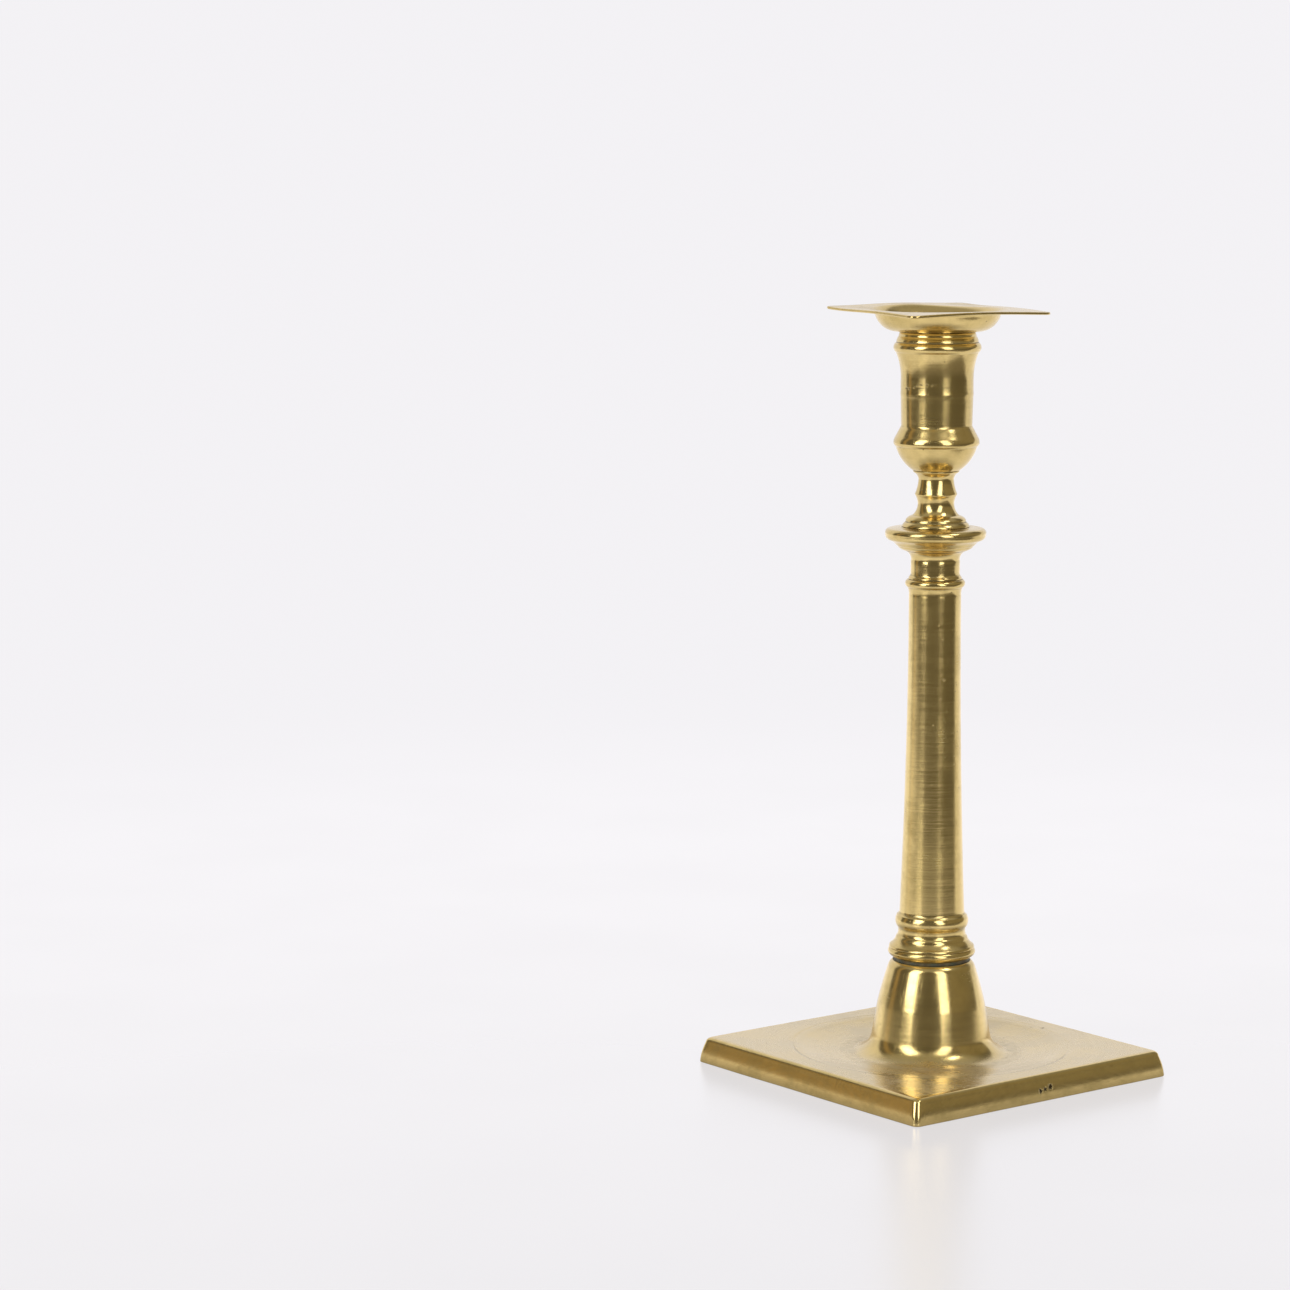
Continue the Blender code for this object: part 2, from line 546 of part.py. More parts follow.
def make_tie_rod():
    """Iron rod with a slotted round head in the socket and its end under the foot."""
    head_foot = SOCKET_FLOOR_TOP + FIT_GAP
    head_top = head_foot + ROD_HEAD_HEIGHT
    end = NUT_BOTTOM - ROD_THREAD_PAST_NUT
    outline = [(0.0, head_top)]
    crown = (ROD_HEAD_RADIUS * 0.55, head_top)
    outline += arc(crown, (ROD_HEAD_RADIUS, head_foot), ROD_HEAD_HEIGHT * 0.35, 3)
    outline += [
        (ROD_RADIUS, head_foot),
        (ROD_RADIUS, end + ROD_RADIUS * 0.25),
        (ROD_RADIUS * 0.75, end),
        (0.0, end),
    ]
    rod = turn_solid("tie_rod", outline, IRON, ROD_SIDES)
    slot = bmesh.new()
    bmesh.ops.create_cube(slot, size=1.0)
    size = Matrix.Diagonal((ROD_HEAD_RADIUS * 3.0, ROD_SLOT_WIDTH, ROD_SLOT_DEPTH * 2.0, 1.0))
    bmesh.ops.transform(slot, matrix=Matrix.Translation((0, 0, head_top)) @ size, verts=slot.verts)
    cut_away(rod, finish_object("rod_slot_cutter", slot, IRON, smooth=False))
    return rod


def make_clamp_washer():
    """Plain round washer under the bell's web."""
    low = WASHER_TOP - WASHER_THICKNESS
    outline = [
        (ROD_HOLE_RADIUS, WASHER_TOP),
        (WASHER_RADIUS, WASHER_TOP),
        (WASHER_RADIUS, low),
        (ROD_HOLE_RADIUS, low),
    ]
    return turn_solid("clamp_washer", outline, IRON, ROD_SIDES)


def make_square_nut():
    """Square nut that draws the rod tight; its lower corners are chamfered."""
    half = NUT_SIDE / 2.0
    hole = ROD_RADIUS + FIT_GAP
    rings = [
        round_ring(hole, NUT_TOP, ROD_SIDES),
        square_ring(half, NUT_CHAMFER, NUT_TOP, ROD_SIDES),
        square_ring(half, NUT_CHAMFER, NUT_BOTTOM + NUT_CHAMFER, ROD_SIDES),
        square_ring(half - NUT_CHAMFER, NUT_CHAMFER, NUT_BOTTOM, ROD_SIDES),
        round_ring(hole, NUT_BOTTOM, ROD_SIDES),
    ]
    return skin_rings("square_nut", rings, IRON)


def make_nozzle_pan(nozzle):
    """Square drip pan of sheet brass with a round dish, standing on the socket's lip."""
    floor = PAN_SEAT
    top = floor + PAN_DISH_DEPTH + PAN_SHEET
    half = PAN_SIDE / 2.0
    hole = TUBE_RADIUS + FIT_GAP
    upper = [(hole, floor + PAN_SHEET)]
    dish_mouth = (PAN_DISH_RADIUS - 0.4 * PAN_SHEET, top)
    dish_shoulder = (PAN_DISH_RADIUS + 0.4 * PAN_SHEET, top - PAN_SHEET)
    dish_foot = (PAN_FLOOR_RADIUS + 0.6 * PAN_SHEET, floor)
    upper += arc((PAN_FLOOR_RADIUS, floor + PAN_SHEET), dish_mouth, -PAN_DISH_SWELL, 5)
    lower = arc(dish_shoulder, dish_foot, PAN_DISH_SWELL, 5)
    lower += [(hole, floor)]
    rings = [round_ring(radius, height, FOOT_SIDES) for radius, height in upper]
    rings.append(clipped_ring(half, PAN_CORNER_CUT, top, FOOT_SIDES))
    rings.append(clipped_ring(half, PAN_CORNER_CUT, top - PAN_SHEET, FOOT_SIDES))
    rings += [round_ring(radius, height, FOOT_SIDES) for radius, height in lower]
    pan = skin_rings("nozzle_pan", rings, SHEET_BRASS)
    pan.parent = nozzle
    return pan


def make_nozzle_tube(nozzle):
    """Tube brazed into the pan: it takes the candle and drops into the socket's bore."""
    bore = TUBE_RADIUS - TUBE_WALL
    lip_foot = PAN_SEAT + PAN_SHEET + FIT_GAP
    lip_top = lip_foot + TUBE_LIP_THICKNESS
    low = PAN_SEAT - TUBE_LENGTH
    outline = [
        (bore, lip_top),
        (TUBE_RADIUS + TUBE_LIP_WIDTH * 0.8, lip_top),
        (TUBE_RADIUS + TUBE_LIP_WIDTH, lip_foot),
        (TUBE_RADIUS, lip_foot),
        (TUBE_RADIUS, low),
        (bore, low),
    ]
    tube = turn_solid("nozzle_tube", outline, SHEET_BRASS)
    tube.parent = nozzle
    return tube


def build():
    """Model every piece of the candlestick."""
    clear_scene()
    make_foot()
    make_base_collar()
    make_shaft()
    make_neck()
    make_flange()
    make_knop()
    make_socket()
    make_tie_rod()
    make_clamp_washer()
    make_square_nut()
    nozzle = bpy.data.objects.new("nozzle", None)
    bpy.context.scene.collection.objects.link(nozzle)
    nozzle.rotation_euler = (0.0, 0.0, PAN_TURN)
    make_nozzle_pan(nozzle)
    make_nozzle_tube(nozzle)


build()
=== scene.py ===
"""The look of a brass candlestick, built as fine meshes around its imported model.

The stick is a stack of turned brass sections on a cast square foot, clamped by an
iron tie rod, with a loose square nozzle standing in the socket.  Each class below
is one sub-assembly: its fields are its sizes in millimetres, heights are measured
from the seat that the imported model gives, and its methods shape and dress its pieces.
"""
import logging
import math
from dataclasses import dataclass, field
from enum import Enum
from typing import Any, Optional, Sequence

import bmesh
import bpy
import numpy as np
from mathutils import Matrix, Quaternion, Vector, noise


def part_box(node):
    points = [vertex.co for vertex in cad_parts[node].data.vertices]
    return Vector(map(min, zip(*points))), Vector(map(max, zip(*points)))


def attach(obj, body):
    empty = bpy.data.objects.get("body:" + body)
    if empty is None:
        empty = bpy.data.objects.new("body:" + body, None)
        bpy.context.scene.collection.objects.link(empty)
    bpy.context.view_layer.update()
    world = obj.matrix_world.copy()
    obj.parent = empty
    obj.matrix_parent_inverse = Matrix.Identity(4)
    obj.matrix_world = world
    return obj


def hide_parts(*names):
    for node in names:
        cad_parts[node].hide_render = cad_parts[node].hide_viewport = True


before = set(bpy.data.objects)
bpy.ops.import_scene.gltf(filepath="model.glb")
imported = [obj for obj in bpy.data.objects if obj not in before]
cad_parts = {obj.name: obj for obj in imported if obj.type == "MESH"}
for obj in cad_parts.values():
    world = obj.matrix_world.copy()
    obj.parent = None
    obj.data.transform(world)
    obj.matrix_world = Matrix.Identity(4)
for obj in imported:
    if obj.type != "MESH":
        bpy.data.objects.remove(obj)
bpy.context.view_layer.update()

log = logging.getLogger("candlestick")
MM = 0.001
FIT = 0.30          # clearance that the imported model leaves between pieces
JOINT = 0.10        # clearance left at a joint that is drawn up tight
FULL_TURN = 2.0 * math.pi
QUARTER_TURN = math.pi / 2.0
AXIS_RADIUS = 0.001     # radius that stands for the axis itself
Point = tuple[float, float]
Stroke = tuple[float, float, float]     # end radius, end height and bow of one run of an outline
Colour = tuple[float, float, float]


class Body(Enum):
    """The two bodies that the pieces ride on."""

    STICK = "candlestick"
    NOZZLE = "nozzle"


class Slot(Enum):
    """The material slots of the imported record."""

    TURNED = "turned_brass"
    CAST = "cast_brass"
    SHEET = "sheet_brass"
    IRON = "dark_iron"


# ---------------------------------------------------------------- finishes
class Wiring:
    """Adds the nodes of one material or world and links them."""

    def __init__(self, owner: Any) -> None:
        """Start on a material or a world that has only its first nodes.

        Args:
            owner: The material or the world.
        """
        owner.use_nodes = True
        self.owner = owner
        self.tree = owner.node_tree
        self.shader = self.tree.nodes.get("Principled BSDF")

    def add(self, kind: str, inputs: Optional[dict[Any, Any]] = None, out: Any = 0,
            **settings: Any) -> Any:
        """Add a node and give its first output, or the one asked for.

        Args:
            kind: Blender's name for the node, without its ShaderNode prefix.
            inputs: What goes into each input: a number, a colour or another output.
            out: Which output to give back.
            settings: The node's own options.

        Returns:
            The chosen output socket.
        """
        node = self.tree.nodes.new("ShaderNode" + kind)
        for key, value in settings.items():
            setattr(node, key, value)
        for key, value in (inputs or {}).items():
            self.feed(node.inputs[key], value)
        return node.outputs[out]

    def feed(self, socket: Any, value: Any) -> None:
        """Link an output to a socket, or set the socket to a constant.

        Args:
            socket: The input socket.
            value: An output socket, a number, or a colour.
        """
        if isinstance(value, bpy.types.NodeSocket):
            self.tree.links.new(value, socket)
        elif isinstance(value, tuple) and len(value) == 3 and socket.type == "RGBA":
            socket.default_value = (*value, 1.0)
        else:
            socket.default_value = value

    def math(self, operation: str, *values: Any) -> Any:
        """Combine numbers with one arithmetic step and give the result."""
        return self.add("Math", dict(enumerate(values)), operation=operation)

    def ramp(self, value: Any, low: float, high: float, to_low: float = 0.0,
             to_high: float = 1.0) -> Any:
        """Map a number smoothly from one range to another.

        Args:
            value: The number to map.
            low: Where the range starts.
            high: Where it ends.
            to_low: What the start becomes.
            to_high: What the end becomes.

        Returns:
            The mapped number.
        """
        inputs = {"Value": value, "From Min": low, "From Max": high, "To Min": to_low,
                  "To Max": to_high}
        return self.add("MapRange", inputs, interpolation_type="SMOOTHSTEP")

    def mix(self, share: Any, first: Any, second: Any) -> Any:
        """Mix two colours and give the mixture."""
        return self.add("Mix", {"Factor": share, 6: first, 7: second}, out=2, data_type="RGBA")

    def cloud(self, where: Any, scale: float, detail: float = 3.0, roughness: float = 0.5) -> Any:
        """Give soft noise of a size, from 0 to 1."""
        inputs = {"Vector": where, "Scale": scale, "Detail": detail, "Roughness": roughness}
        return self.add("TexNoise", inputs)

    def turning_lines(self, where: Any, around: float, across: float) -> Any:
        """Coordinates stretched along the tool's path, so that noise becomes fine rings.

        Args:
            where: The object's own coordinates.
            around: How fast the noise changes round the piece, per metre.
            across: How fast it changes from one line to the next, per metre.

        Returns:
            The stretched coordinates.
        """
        apart = self.tree.nodes.new("ShaderNodeSeparateXYZ")
        self.feed(apart.inputs[0], where)
        east, north, height = apart.outputs
        radius = self.math("SQRT", self.math("ADD", self.math("MULTIPLY", east, east),
                                             self.math("MULTIPLY", north, north)))
        run = self.math("MULTIPLY", self.math("ADD", height, radius), across)
        stretched = [self.math("MULTIPLY", east, around), self.math("MULTIPLY", north, around), run]
        return self.add("CombineXYZ", dict(enumerate(stretched)))


@dataclass(frozen=True)
class Flaw:
    """A single mark in a surface, in millimetres: where it is, how wide, how deep and how dark."""

    place: tuple[float, float, float]
    width: float
    depth: float
    stain: float = 0.6


@dataclass(frozen=True)
class BrassFinish:
    """Old polished brass: rubbed bright on top, brown in the hollows, lined by the lathe."""

    name: str
    bright: Colour = (0.755, 0.575, 0.242)
    dull: Colour = (0.60, 0.455, 0.175)
    # dark colour of dirt, pits and marks, and of the shade painted next to joints
    grime_and_shade: Colour = (0.085, 0.062, 0.030)
    verdigris: Colour = (0.10, 0.12, 0.09)
    raw: Colour = (0.36, 0.27, 0.13)
    residue: Colour = (0.80, 0.73, 0.60)    # pale film that metal polish leaves
    polish: float = 0.15            # roughness of the rubbed metal
    cloudiness: float = 0.10        # how much rougher the cloudy patches are
    line_roughness: float = 0.05    # how much rougher the turning lines are
    dirt_roughness: float = 0.40    # how much rougher the dirt is
    raw_roughness: float = 0.30     # how much rougher the unpolished metal is
    film_roughness: float = 0.12    # how much rougher the pale film is
    line_depth: float = 0.010       # depth of the turning lines, in millimetres
    scratch_depth: float = 0.004    # depth of the hairline scratches
    pit_depth: float = 0.06
    cast_depth: float = 0.16        # depth of the grain that unpolished metal keeps from its mould
    pit_share: float = 0.10         # share of the places where a pit may be that has one
    grain: float = 0.60             # how far reflections stretch across the turning lines
    patches_per_metre: float = 70.0
    mottles_per_metre: float = 420.0
    fine_lines: Point = (45.0, 2600.0)      # changes per metre round the piece and across the lines
    broad_lines: Point = (12.0, 620.0)
    film_range: Point = (0.45, 1.0)         # thinnest and thickest pale film
    tarnish_range: Point = (0.55, 0.95)     # cloud values between which tarnish sets in
    dirt_range: Point = (0.30, 1.10)
    verdigris_range: Point = (0.40, 0.62)
    line_tint: float = 0.16         # how much of the dull colour the broad lines take
    film_tint: float = 0.5
    film_cover: float = 0.65        # how much of the tarnish the film hides
    pit_tint: float = 0.8
    dirt_hides: float = 0.75        # how much of the metal's shine the dirt takes away
    film_hides: float = 0.28
    flaws: tuple["Flaw", ...] = ()  # single marks that this piece has

    def material(self) -> bpy.types.Material:
        """Wire the finish.

        Returns:
            The material.
        """
        w = Wiring(bpy.data.materials.new(self.name))
        where = w.add("TexCoord", out="Object")
        fine = w.cloud(w.turning_lines(where, *self.fine_lines), 1.0, 2.0)
        broad = w.cloud(w.turning_lines(where, *self.broad_lines), 1.0, 2.0)
        patches = w.cloud(where, self.patches_per_metre, 5.0, 0.6)
        mottle = w.cloud(where, self.mottles_per_metre, 3.0, 0.6)
        hollow = w.add("Attribute", out="Fac", attribute_name="grime_and_shade")
        raw = w.add("Attribute", out="Fac", attribute_name="raw")
        film = w.add("Attribute", out="Fac", attribute_name="film")
        film = w.math("MULTIPLY", film, w.ramp(patches, 0.25, 0.75, *self.film_range))
        pits = self.pits(w, where)
        scratches = self.scratches(w, where)
        clouds = w.math("ADD", patches, w.math("MULTIPLY", mottle, 0.35))
        bare = w.math("SUBTRACT", 1.0, w.math("MULTIPLY", film, self.film_cover))
        tarnish = w.math("MULTIPLY", w.ramp(clouds, *self.tarnish_range), bare)
        # Dirt in the hollows and bands, and painted shade next to joints, as marked on each piece.
        dirt = w.ramp(w.math("MULTIPLY", hollow, w.math("ADD", mottle, 0.55)), *self.dirt_range)

        colour = w.mix(tarnish, self.bright, self.dull)
        lined = w.math("MULTIPLY", w.ramp(broad, 0.3, 0.7), self.line_tint)
        colour = w.mix(lined, colour, self.dull)
        colour = w.mix(w.math("MULTIPLY", film, self.film_tint), colour, self.residue)
        colour = w.mix(raw, colour, self.raw)
        # The colour of dirt and verdigris, which next to joints is painted shade too.
        deposit = w.mix(w.ramp(patches, *self.verdigris_range), self.grime_and_shade, self.verdigris)
        colour = w.mix(dirt, colour, deposit)
        colour = w.mix(w.math("MULTIPLY", pits, self.pit_tint), colour, self.grime_and_shade)

        rough = w.math("ADD", self.polish, w.ramp(fine, 0.35, 0.7, 0.0, self.line_roughness))
        for share, extra in ((tarnish, self.cloudiness), (dirt, self.dirt_roughness),
                             (raw, self.raw_roughness), (film, self.film_roughness)):
            rough = w.math("ADD", rough, w.math("MULTIPLY", share, extra))
        w.feed(w.shader.inputs["Roughness"], rough)
        metal = w.math("SUBTRACT", 1.0, w.math("MULTIPLY", dirt, self.dirt_hides))
        metal = w.math("SUBTRACT", metal, w.math("MULTIPLY", film, self.film_hides))
        w.feed(w.shader.inputs["Metallic"], metal)

        lift = w.math("ADD", w.math("MULTIPLY", fine, self.line_depth),
                      w.math("MULTIPLY", broad, self.line_depth * 1.5))
        lift = w.math("SUBTRACT", lift, w.math("MULTIPLY", scratches, self.scratch_depth))
        lift = w.math("SUBTRACT", lift, w.math("MULTIPLY", pits, self.pit_depth))
        cast = w.math("MULTIPLY", raw, w.math("MULTIPLY", mottle, self.cast_depth))
        colour, lift = self.marked(w, where, colour, w.math("ADD", lift, cast))
        w.feed(w.shader.inputs["Base Color"], colour)
        normal = w.add("Bump", {"Height": lift, "Distance": MM, "Strength": 1.0})
        w.feed(w.shader.inputs["Normal"], normal)
        w.feed(w.shader.inputs["Tangent"], w.add("Tangent", direction_type="RADIAL", axis="Z"))
        w.shader.inputs["Anisotropic"].default_value = self.grain
        w.shader.inputs["Anisotropic Rotation"].default_value = 0.25
        return w.owner

    def marked(self, w: Wiring, where: Any, colour: Any, lift: Any) -> tuple[Any, Any]:
        """Add the single marks: each is a ragged dark hollow at its own place.

        Args:
            w: The material's wiring.
            where: The object's own coordinates.
            colour: The colour so far.
            lift: The height of the surface so far, in millimetres.

        Returns:
            The colour and the height with the marks in them.
        """
        if not self.flaws:
            return colour, lift
        ragged = w.add("TexNoise", {"Vector": where, "Scale": 1500.0, "Detail": 3.0}, out="Color")
        shift = w.add("VectorMath", {0: ragged, 1: (0.5, 0.5, 0.5)}, operation="SUBTRACT")
        shift = w.add("VectorMath", {0: shift, "Scale": 1.6 * MM}, operation="SCALE")
        spot = w.add("VectorMath", {0: where, 1: shift}, operation="ADD")
        for flaw in self.flaws:
            place = tuple(part * MM for part in flaw.place)
            away = w.add("VectorMath", {0: spot, 1: place}, out="Value", operation="DISTANCE")
            share = w.ramp(away, flaw.width * MM, flaw.width * 0.45 * MM)
            colour = w.mix(w.math("MULTIPLY", share, flaw.stain), colour, self.grime_and_shade)
            lift = w.math("SUBTRACT", lift, w.math("MULTIPLY", share, flaw.depth))
        return colour, lift

    def pits(self, w: Wiring, where: Any) -> Any:
        """Small round casting pits, one here and there.

        Args:
            w: The material's wiring.
            where: The object's own coordinates.

        Returns:
            A number that is 1 in a pit.
        """
        node = w.tree.nodes.new("ShaderNodeTexVoronoi")
        w.feed(node.inputs["Vector"], where)
        node.inputs["Scale"].default_value = self.mottles_per_metre
        near = w.ramp(node.outputs["Distance"], 0.13, 0.06)
        apart = w.tree.nodes.new("ShaderNodeSeparateColor")
        w.feed(apart.inputs[0], node.outputs["Color"])
        chosen = w.math("LESS_THAN", apart.outputs[0], self.pit_share)
        return w.math("MULTIPLY", near, chosen)

    def scratches(self, w: Wiring, where: Any) -> Any:
        """Hairline scratches left by polishing cloths, crossing in two directions.

        Args:
            w: The material's wiring.
            where: The object's own coordinates.

        Returns:
            A number that is 1 in a scratch.
        """
        total = 0.0
        for tilt, lean in ((0.5, 0.9), (-0.8, 2.2)):
            turned = {"Vector": where, "Rotation": (tilt, lean, tilt + lean)}
            along = w.add("Mapping", {**turned, "Scale": (5200.0, 90.0, 90.0)})
            total = w.math("MAXIMUM", total, w.ramp(w.cloud(along, 1.0, 1.0), 0.66, 0.74))
        return total


@dataclass(frozen=True)
class IronFinish:
    """Black iron with rust in patches."""

    name: str = "iron_black_with_rust"
    black: Colour = (0.050, 0.044, 0.040)
    rubbed: Colour = (0.20, 0.185, 0.17)
    rust: Colour = (0.135, 0.055, 0.022)
    patches_per_metre: float = 320.0
    wear_per_metre: float = 900.0
    grit_per_metre: float = 2600.0
    rust_range: Point = (0.46, 0.62)
    wear_range: Point = (0.55, 0.75)
    roughness: Point = (0.42, 0.78)
    grit_depth: float = 0.05        # millimetres
    rust_depth: float = 0.08

    def material(self) -> bpy.types.Material:
        """Wire the finish.

        Returns:
            The material.
        """
        w = Wiring(bpy.data.materials.new(self.name))
        where = w.add("TexCoord", out="Object")
        patches = w.ramp(w.cloud(where, self.patches_per_metre, 6.0, 0.65), *self.rust_range)
        wear = w.ramp(w.cloud(where, self.wear_per_metre, 4.0), *self.wear_range)
        grit = w.cloud(where, self.grit_per_metre, 4.0, 0.7)
        colour = w.mix(wear, self.black, self.rubbed)
        w.feed(w.shader.inputs["Base Color"], w.mix(patches, colour, self.rust))
        metal = w.math("SUBTRACT", 0.9, w.math("MULTIPLY", patches, 0.8))
        w.feed(w.shader.inputs["Metallic"], metal)
        w.feed(w.shader.inputs["Roughness"], w.ramp(grit, 0.3, 0.7, *self.roughness))
        lift = w.math("ADD", w.math("MULTIPLY", grit, self.grit_depth),
                      w.math("MULTIPLY", patches, self.rust_depth))
        normal = w.add("Bump", {"Height": lift, "Distance": MM, "Strength": 1.0})
        w.feed(w.shader.inputs["Normal"], normal)
        return w.owner


# ---------------------------------------------------------------- outlines and meshes
@dataclass
class Outline:
    """A closed outline in (radius, height), drawn with the metal on its right-hand side."""

    points: list[Point] = field(default_factory=list)
    step: float = 0.30          # length of the short runs that an arc is made of
    smooth: float = 14.0        # degrees of turn below which a corner is left alone
    fewest: int = 4             # fewest and most short runs in one arc
    most: int = 60

    def to(self, *points: Point) -> "Outline":
        """Go straight to each point in turn."""
        self.points.extend(points)
        return self

    def follow(self, *strokes: Stroke, base: float = 0.0) -> "Outline":
        """Draw several runs, one after another.

        Args:
            strokes: Radius, height and bow of each run's end; a bow of 0 is a straight run.
            base: The height that the strokes are measured from.

        Returns:
            The outline itself.
        """
        for radius, height, bow in strokes:
            end = (radius, height + base)
            if bow:
                self.arc(end, bow)
            else:
                self.to(end)
        return self

    def arc(self, end: Point, bow: float) -> "Outline":
        """Go to a point along an arc.

        Args:
            end: Where the arc ends.
            bow: How far its middle stands off the straight line; positive is a swelling.

        Returns:
            The outline itself.
        """
        start = Vector(self.points[-1])
        chord = Vector(end) - start
        half = chord.length / 2.0
        left = Vector((-chord.y, chord.x)).normalized()
        radius = (half * half + bow * bow) / (2.0 * abs(bow))
        side = math.copysign(1.0, bow)
        centre = start + chord / 2.0 + left * side * (abs(bow) - radius)
        sweep = 2.0 * math.asin(min(1.0, half / radius))
        count = min(self.most, max(self.fewest, math.ceil(sweep * radius / self.step)))
        spoke = start - centre
        for index in range(1, count + 1):
            arm = Matrix.Rotation(-side * sweep * index / count, 2) @ spoke
            self.points.append(tuple(centre + arm))
        return self

    def eased(self, ease: float, longest: float) -> np.ndarray:
        """The finished outline, with its corners rubbed round and its long runs divided.

        Args:
            ease: How far from a corner the rounding starts, at most.
            longest: The longest run left undivided.

        Returns:
            The points, one row each.
        """
        raw = [p for i, p in enumerate(self.points) if math.dist(p, self.points[i - 1]) > 1e-6]
        soft: list[Vector] = []
        for index, here in enumerate(raw):
            before, here, after = Vector(raw[index - 1]), Vector(here), Vector(raw[(index + 1) % len(raw)])
            back, on = before - here, after - here
            if abs((-back).angle_signed(on)) < math.radians(self.smooth):
                soft.append(here)
                continue
            start = here + back.normalized() * min(ease, back.length * 0.42)
            end = here + on.normalized() * min(ease, on.length * 0.42)
            for share in (0.0, 0.25, 0.5, 0.75, 1.0):
                soft.append(start.lerp(here, share).lerp(here.lerp(end, share), share))
        points = []
        for index, here in enumerate(soft):
            after = soft[(index + 1) % len(soft)]
            count = max(1, math.ceil((after - here).length / longest))
            points += [tuple(here.lerp(after, part / count)) for part in range(count)]
        return np.array(points)


def hollows(points: np.ndarray, reach: float) -> np.ndarray:
    """How deep in a hollow each point of a closed outline lies, from 0 to 1.

    Args:
        points: The outline's points, with the metal on the right-hand side.
        reach: How far to either side to look.

    Returns:
        One number for each point.
    """
    count = len(points)
    run = np.concatenate([[0.0], np.cumsum(np.linalg.norm(np.roll(points, -1, 0) - points, axis=1))])
    around = np.vstack([points, points[:1]])
    places = run[:count]
    sides = []
    for shift in (-reach, reach):
        spot = (places + shift) % run[-1]
        sides.append(np.stack([np.interp(spot, run, around[:, axis]) for axis in (0, 1)], 1))
    chord = sides[1] - sides[0]
    left = np.stack([-chord[:, 1], chord[:, 0]], 1)
    left /= np.maximum(np.linalg.norm(left, axis=1, keepdims=True), 1e-9)
    depth = np.einsum("ij,ij->i", (sides[0] + sides[1]) / 2.0 - points, left)
    return np.clip(depth / (reach * 0.45), 0.0, 1.0)


def polish_waves(spots: np.ndarray, size: float, height: float) -> np.ndarray:
    """Gentle unevenness that hand polishing leaves, as a height at each spot.

    Args:
        spots: Points in millimetres.
        size: How far apart the swells are.
        height: How high they are.

    Returns:
        One height for each spot.
    """
    return np.array([noise.noise(Vector(spot) / size) for spot in spots]) * height


def skin(name: str, rings: np.ndarray, waves: tuple[float, float] = (14.0, 0.02),
         ends_open: bool = False) -> bpy.types.Object:
    """Join rings of points into one closed surface.

    Args:
        name: The piece's name.
        rings: Points in millimetres, ring by ring, each ring with as many.
        waves: Spacing and height of the polishing waves.
        ends_open: Whether the last ring stops short of the first, as where both close on the axis.

    Returns:
        The object.
    """
    count, sides, _ = rings.shape
    along = np.roll(rings, -1, 0) - np.roll(rings, 1, 0)
    across = np.roll(rings, -1, 1) - np.roll(rings, 1, 1)
    normals = np.cross(across, along).reshape(-1, 3)
    normals /= np.maximum(np.linalg.norm(normals, axis=1, keepdims=True), 1e-9)
    spots = rings.reshape(-1, 3)
    lift = polish_waves(spots, *waves)
    spots = spots + normals * lift[:, None]
    bm = bmesh.new()
    verts = [bm.verts.new(Vector(spot) * MM) for spot in spots]
    for ring in range(count - 1 if ends_open else count):
        first, second = ring * sides, (ring + 1) % count * sides
        for step in range(sides):
            after = (step + 1) % sides
            near = verts[first + step], verts[second + step]
            far = verts[second + after], verts[first + after]
            bm.faces.new(near + far)
    mesh = bpy.data.meshes.new(name)
    bm.to_mesh(mesh)
    bm.free()
    thing = bpy.data.objects.new(name, mesh)
    bpy.context.scene.collection.objects.link(thing)
    mesh.shade_smooth()
    return thing


def mark(thing: bpy.types.Object, name: str, shares: np.ndarray) -> None:
    """Write one number for each point of a piece, for its finish to read."""
    layer = thing.data.attributes.new(name, "FLOAT", "POINT")
    layer.data.foreach_set("value", shares.astype(np.float32).ravel())


def settle(thing: bpy.types.Object, node: str, body: Body,
           material: bpy.types.Material) -> None:
    """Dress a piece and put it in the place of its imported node.

    Args:
        thing: The finished piece.
        node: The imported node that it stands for.
        body: The body that it moves with.
        material: Its finish.
    """
    thing.data.materials.clear()
    thing.data.materials.append(material)
    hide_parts(node)
    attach(thing, body.value)
    log.info("%s: %d faces, stands for %s", thing.name, len(thing.data.polygons), node)


class RingStack:
    """Rings of points laid one after another, each with its shares of dirt, raw metal and film."""

    MARKS = ("grime_and_shade", "raw", "film")

    def __init__(self) -> None:
        """Start with no rings."""
        self.rings: list[np.ndarray] = []
        self.shares: list[tuple[float, float, float]] = []

    def lay(self, flat: np.ndarray, height: float, dirt: float = 0.0, raw: float = 0.0,
            film: float = 0.0) -> None:
        """Add one ring.

        Args:
            flat: Its points in plan.
            height: Its height.
            dirt: Its share of dirt.
            raw: Its share of metal left as it came from the mould.
            film: Its share of pale polish film.
        """
        self.rings.append(np.column_stack([flat, np.full(len(flat), height)]))
        self.shares.append((dirt, raw, film))

    def close(self, name: str, waves: Point) -> bpy.types.Object:
        """Join the rings into one piece, with their shares written on it.

        Args:
            name: The piece's name.
            waves: Spacing and height of the polishing waves.

        Returns:
            The piece.
        """
        thing = skin(name, np.array(self.rings), waves)
        for column, layer in enumerate(self.MARKS):
            shares = [share[column] for share in self.shares]
            mark(thing, layer, np.repeat(shares, len(self.rings[0])))
        return thing


def four_sides(quarter: Sequence[Point]) -> np.ndarray:
    """Repeat one side and its corner round all four sides of a square.

    Args:
        quarter: The points of the first quarter.

    Returns:
        The points of the whole ring, one row each.
    """
    ring: list[Point] = []
    for turn in range(4):
        spin = Matrix.Rotation(QUARTER_TURN * turn, 2)
        ring += [tuple(spin @ Vector(point)) for point in quarter]
    return np.array(ring)


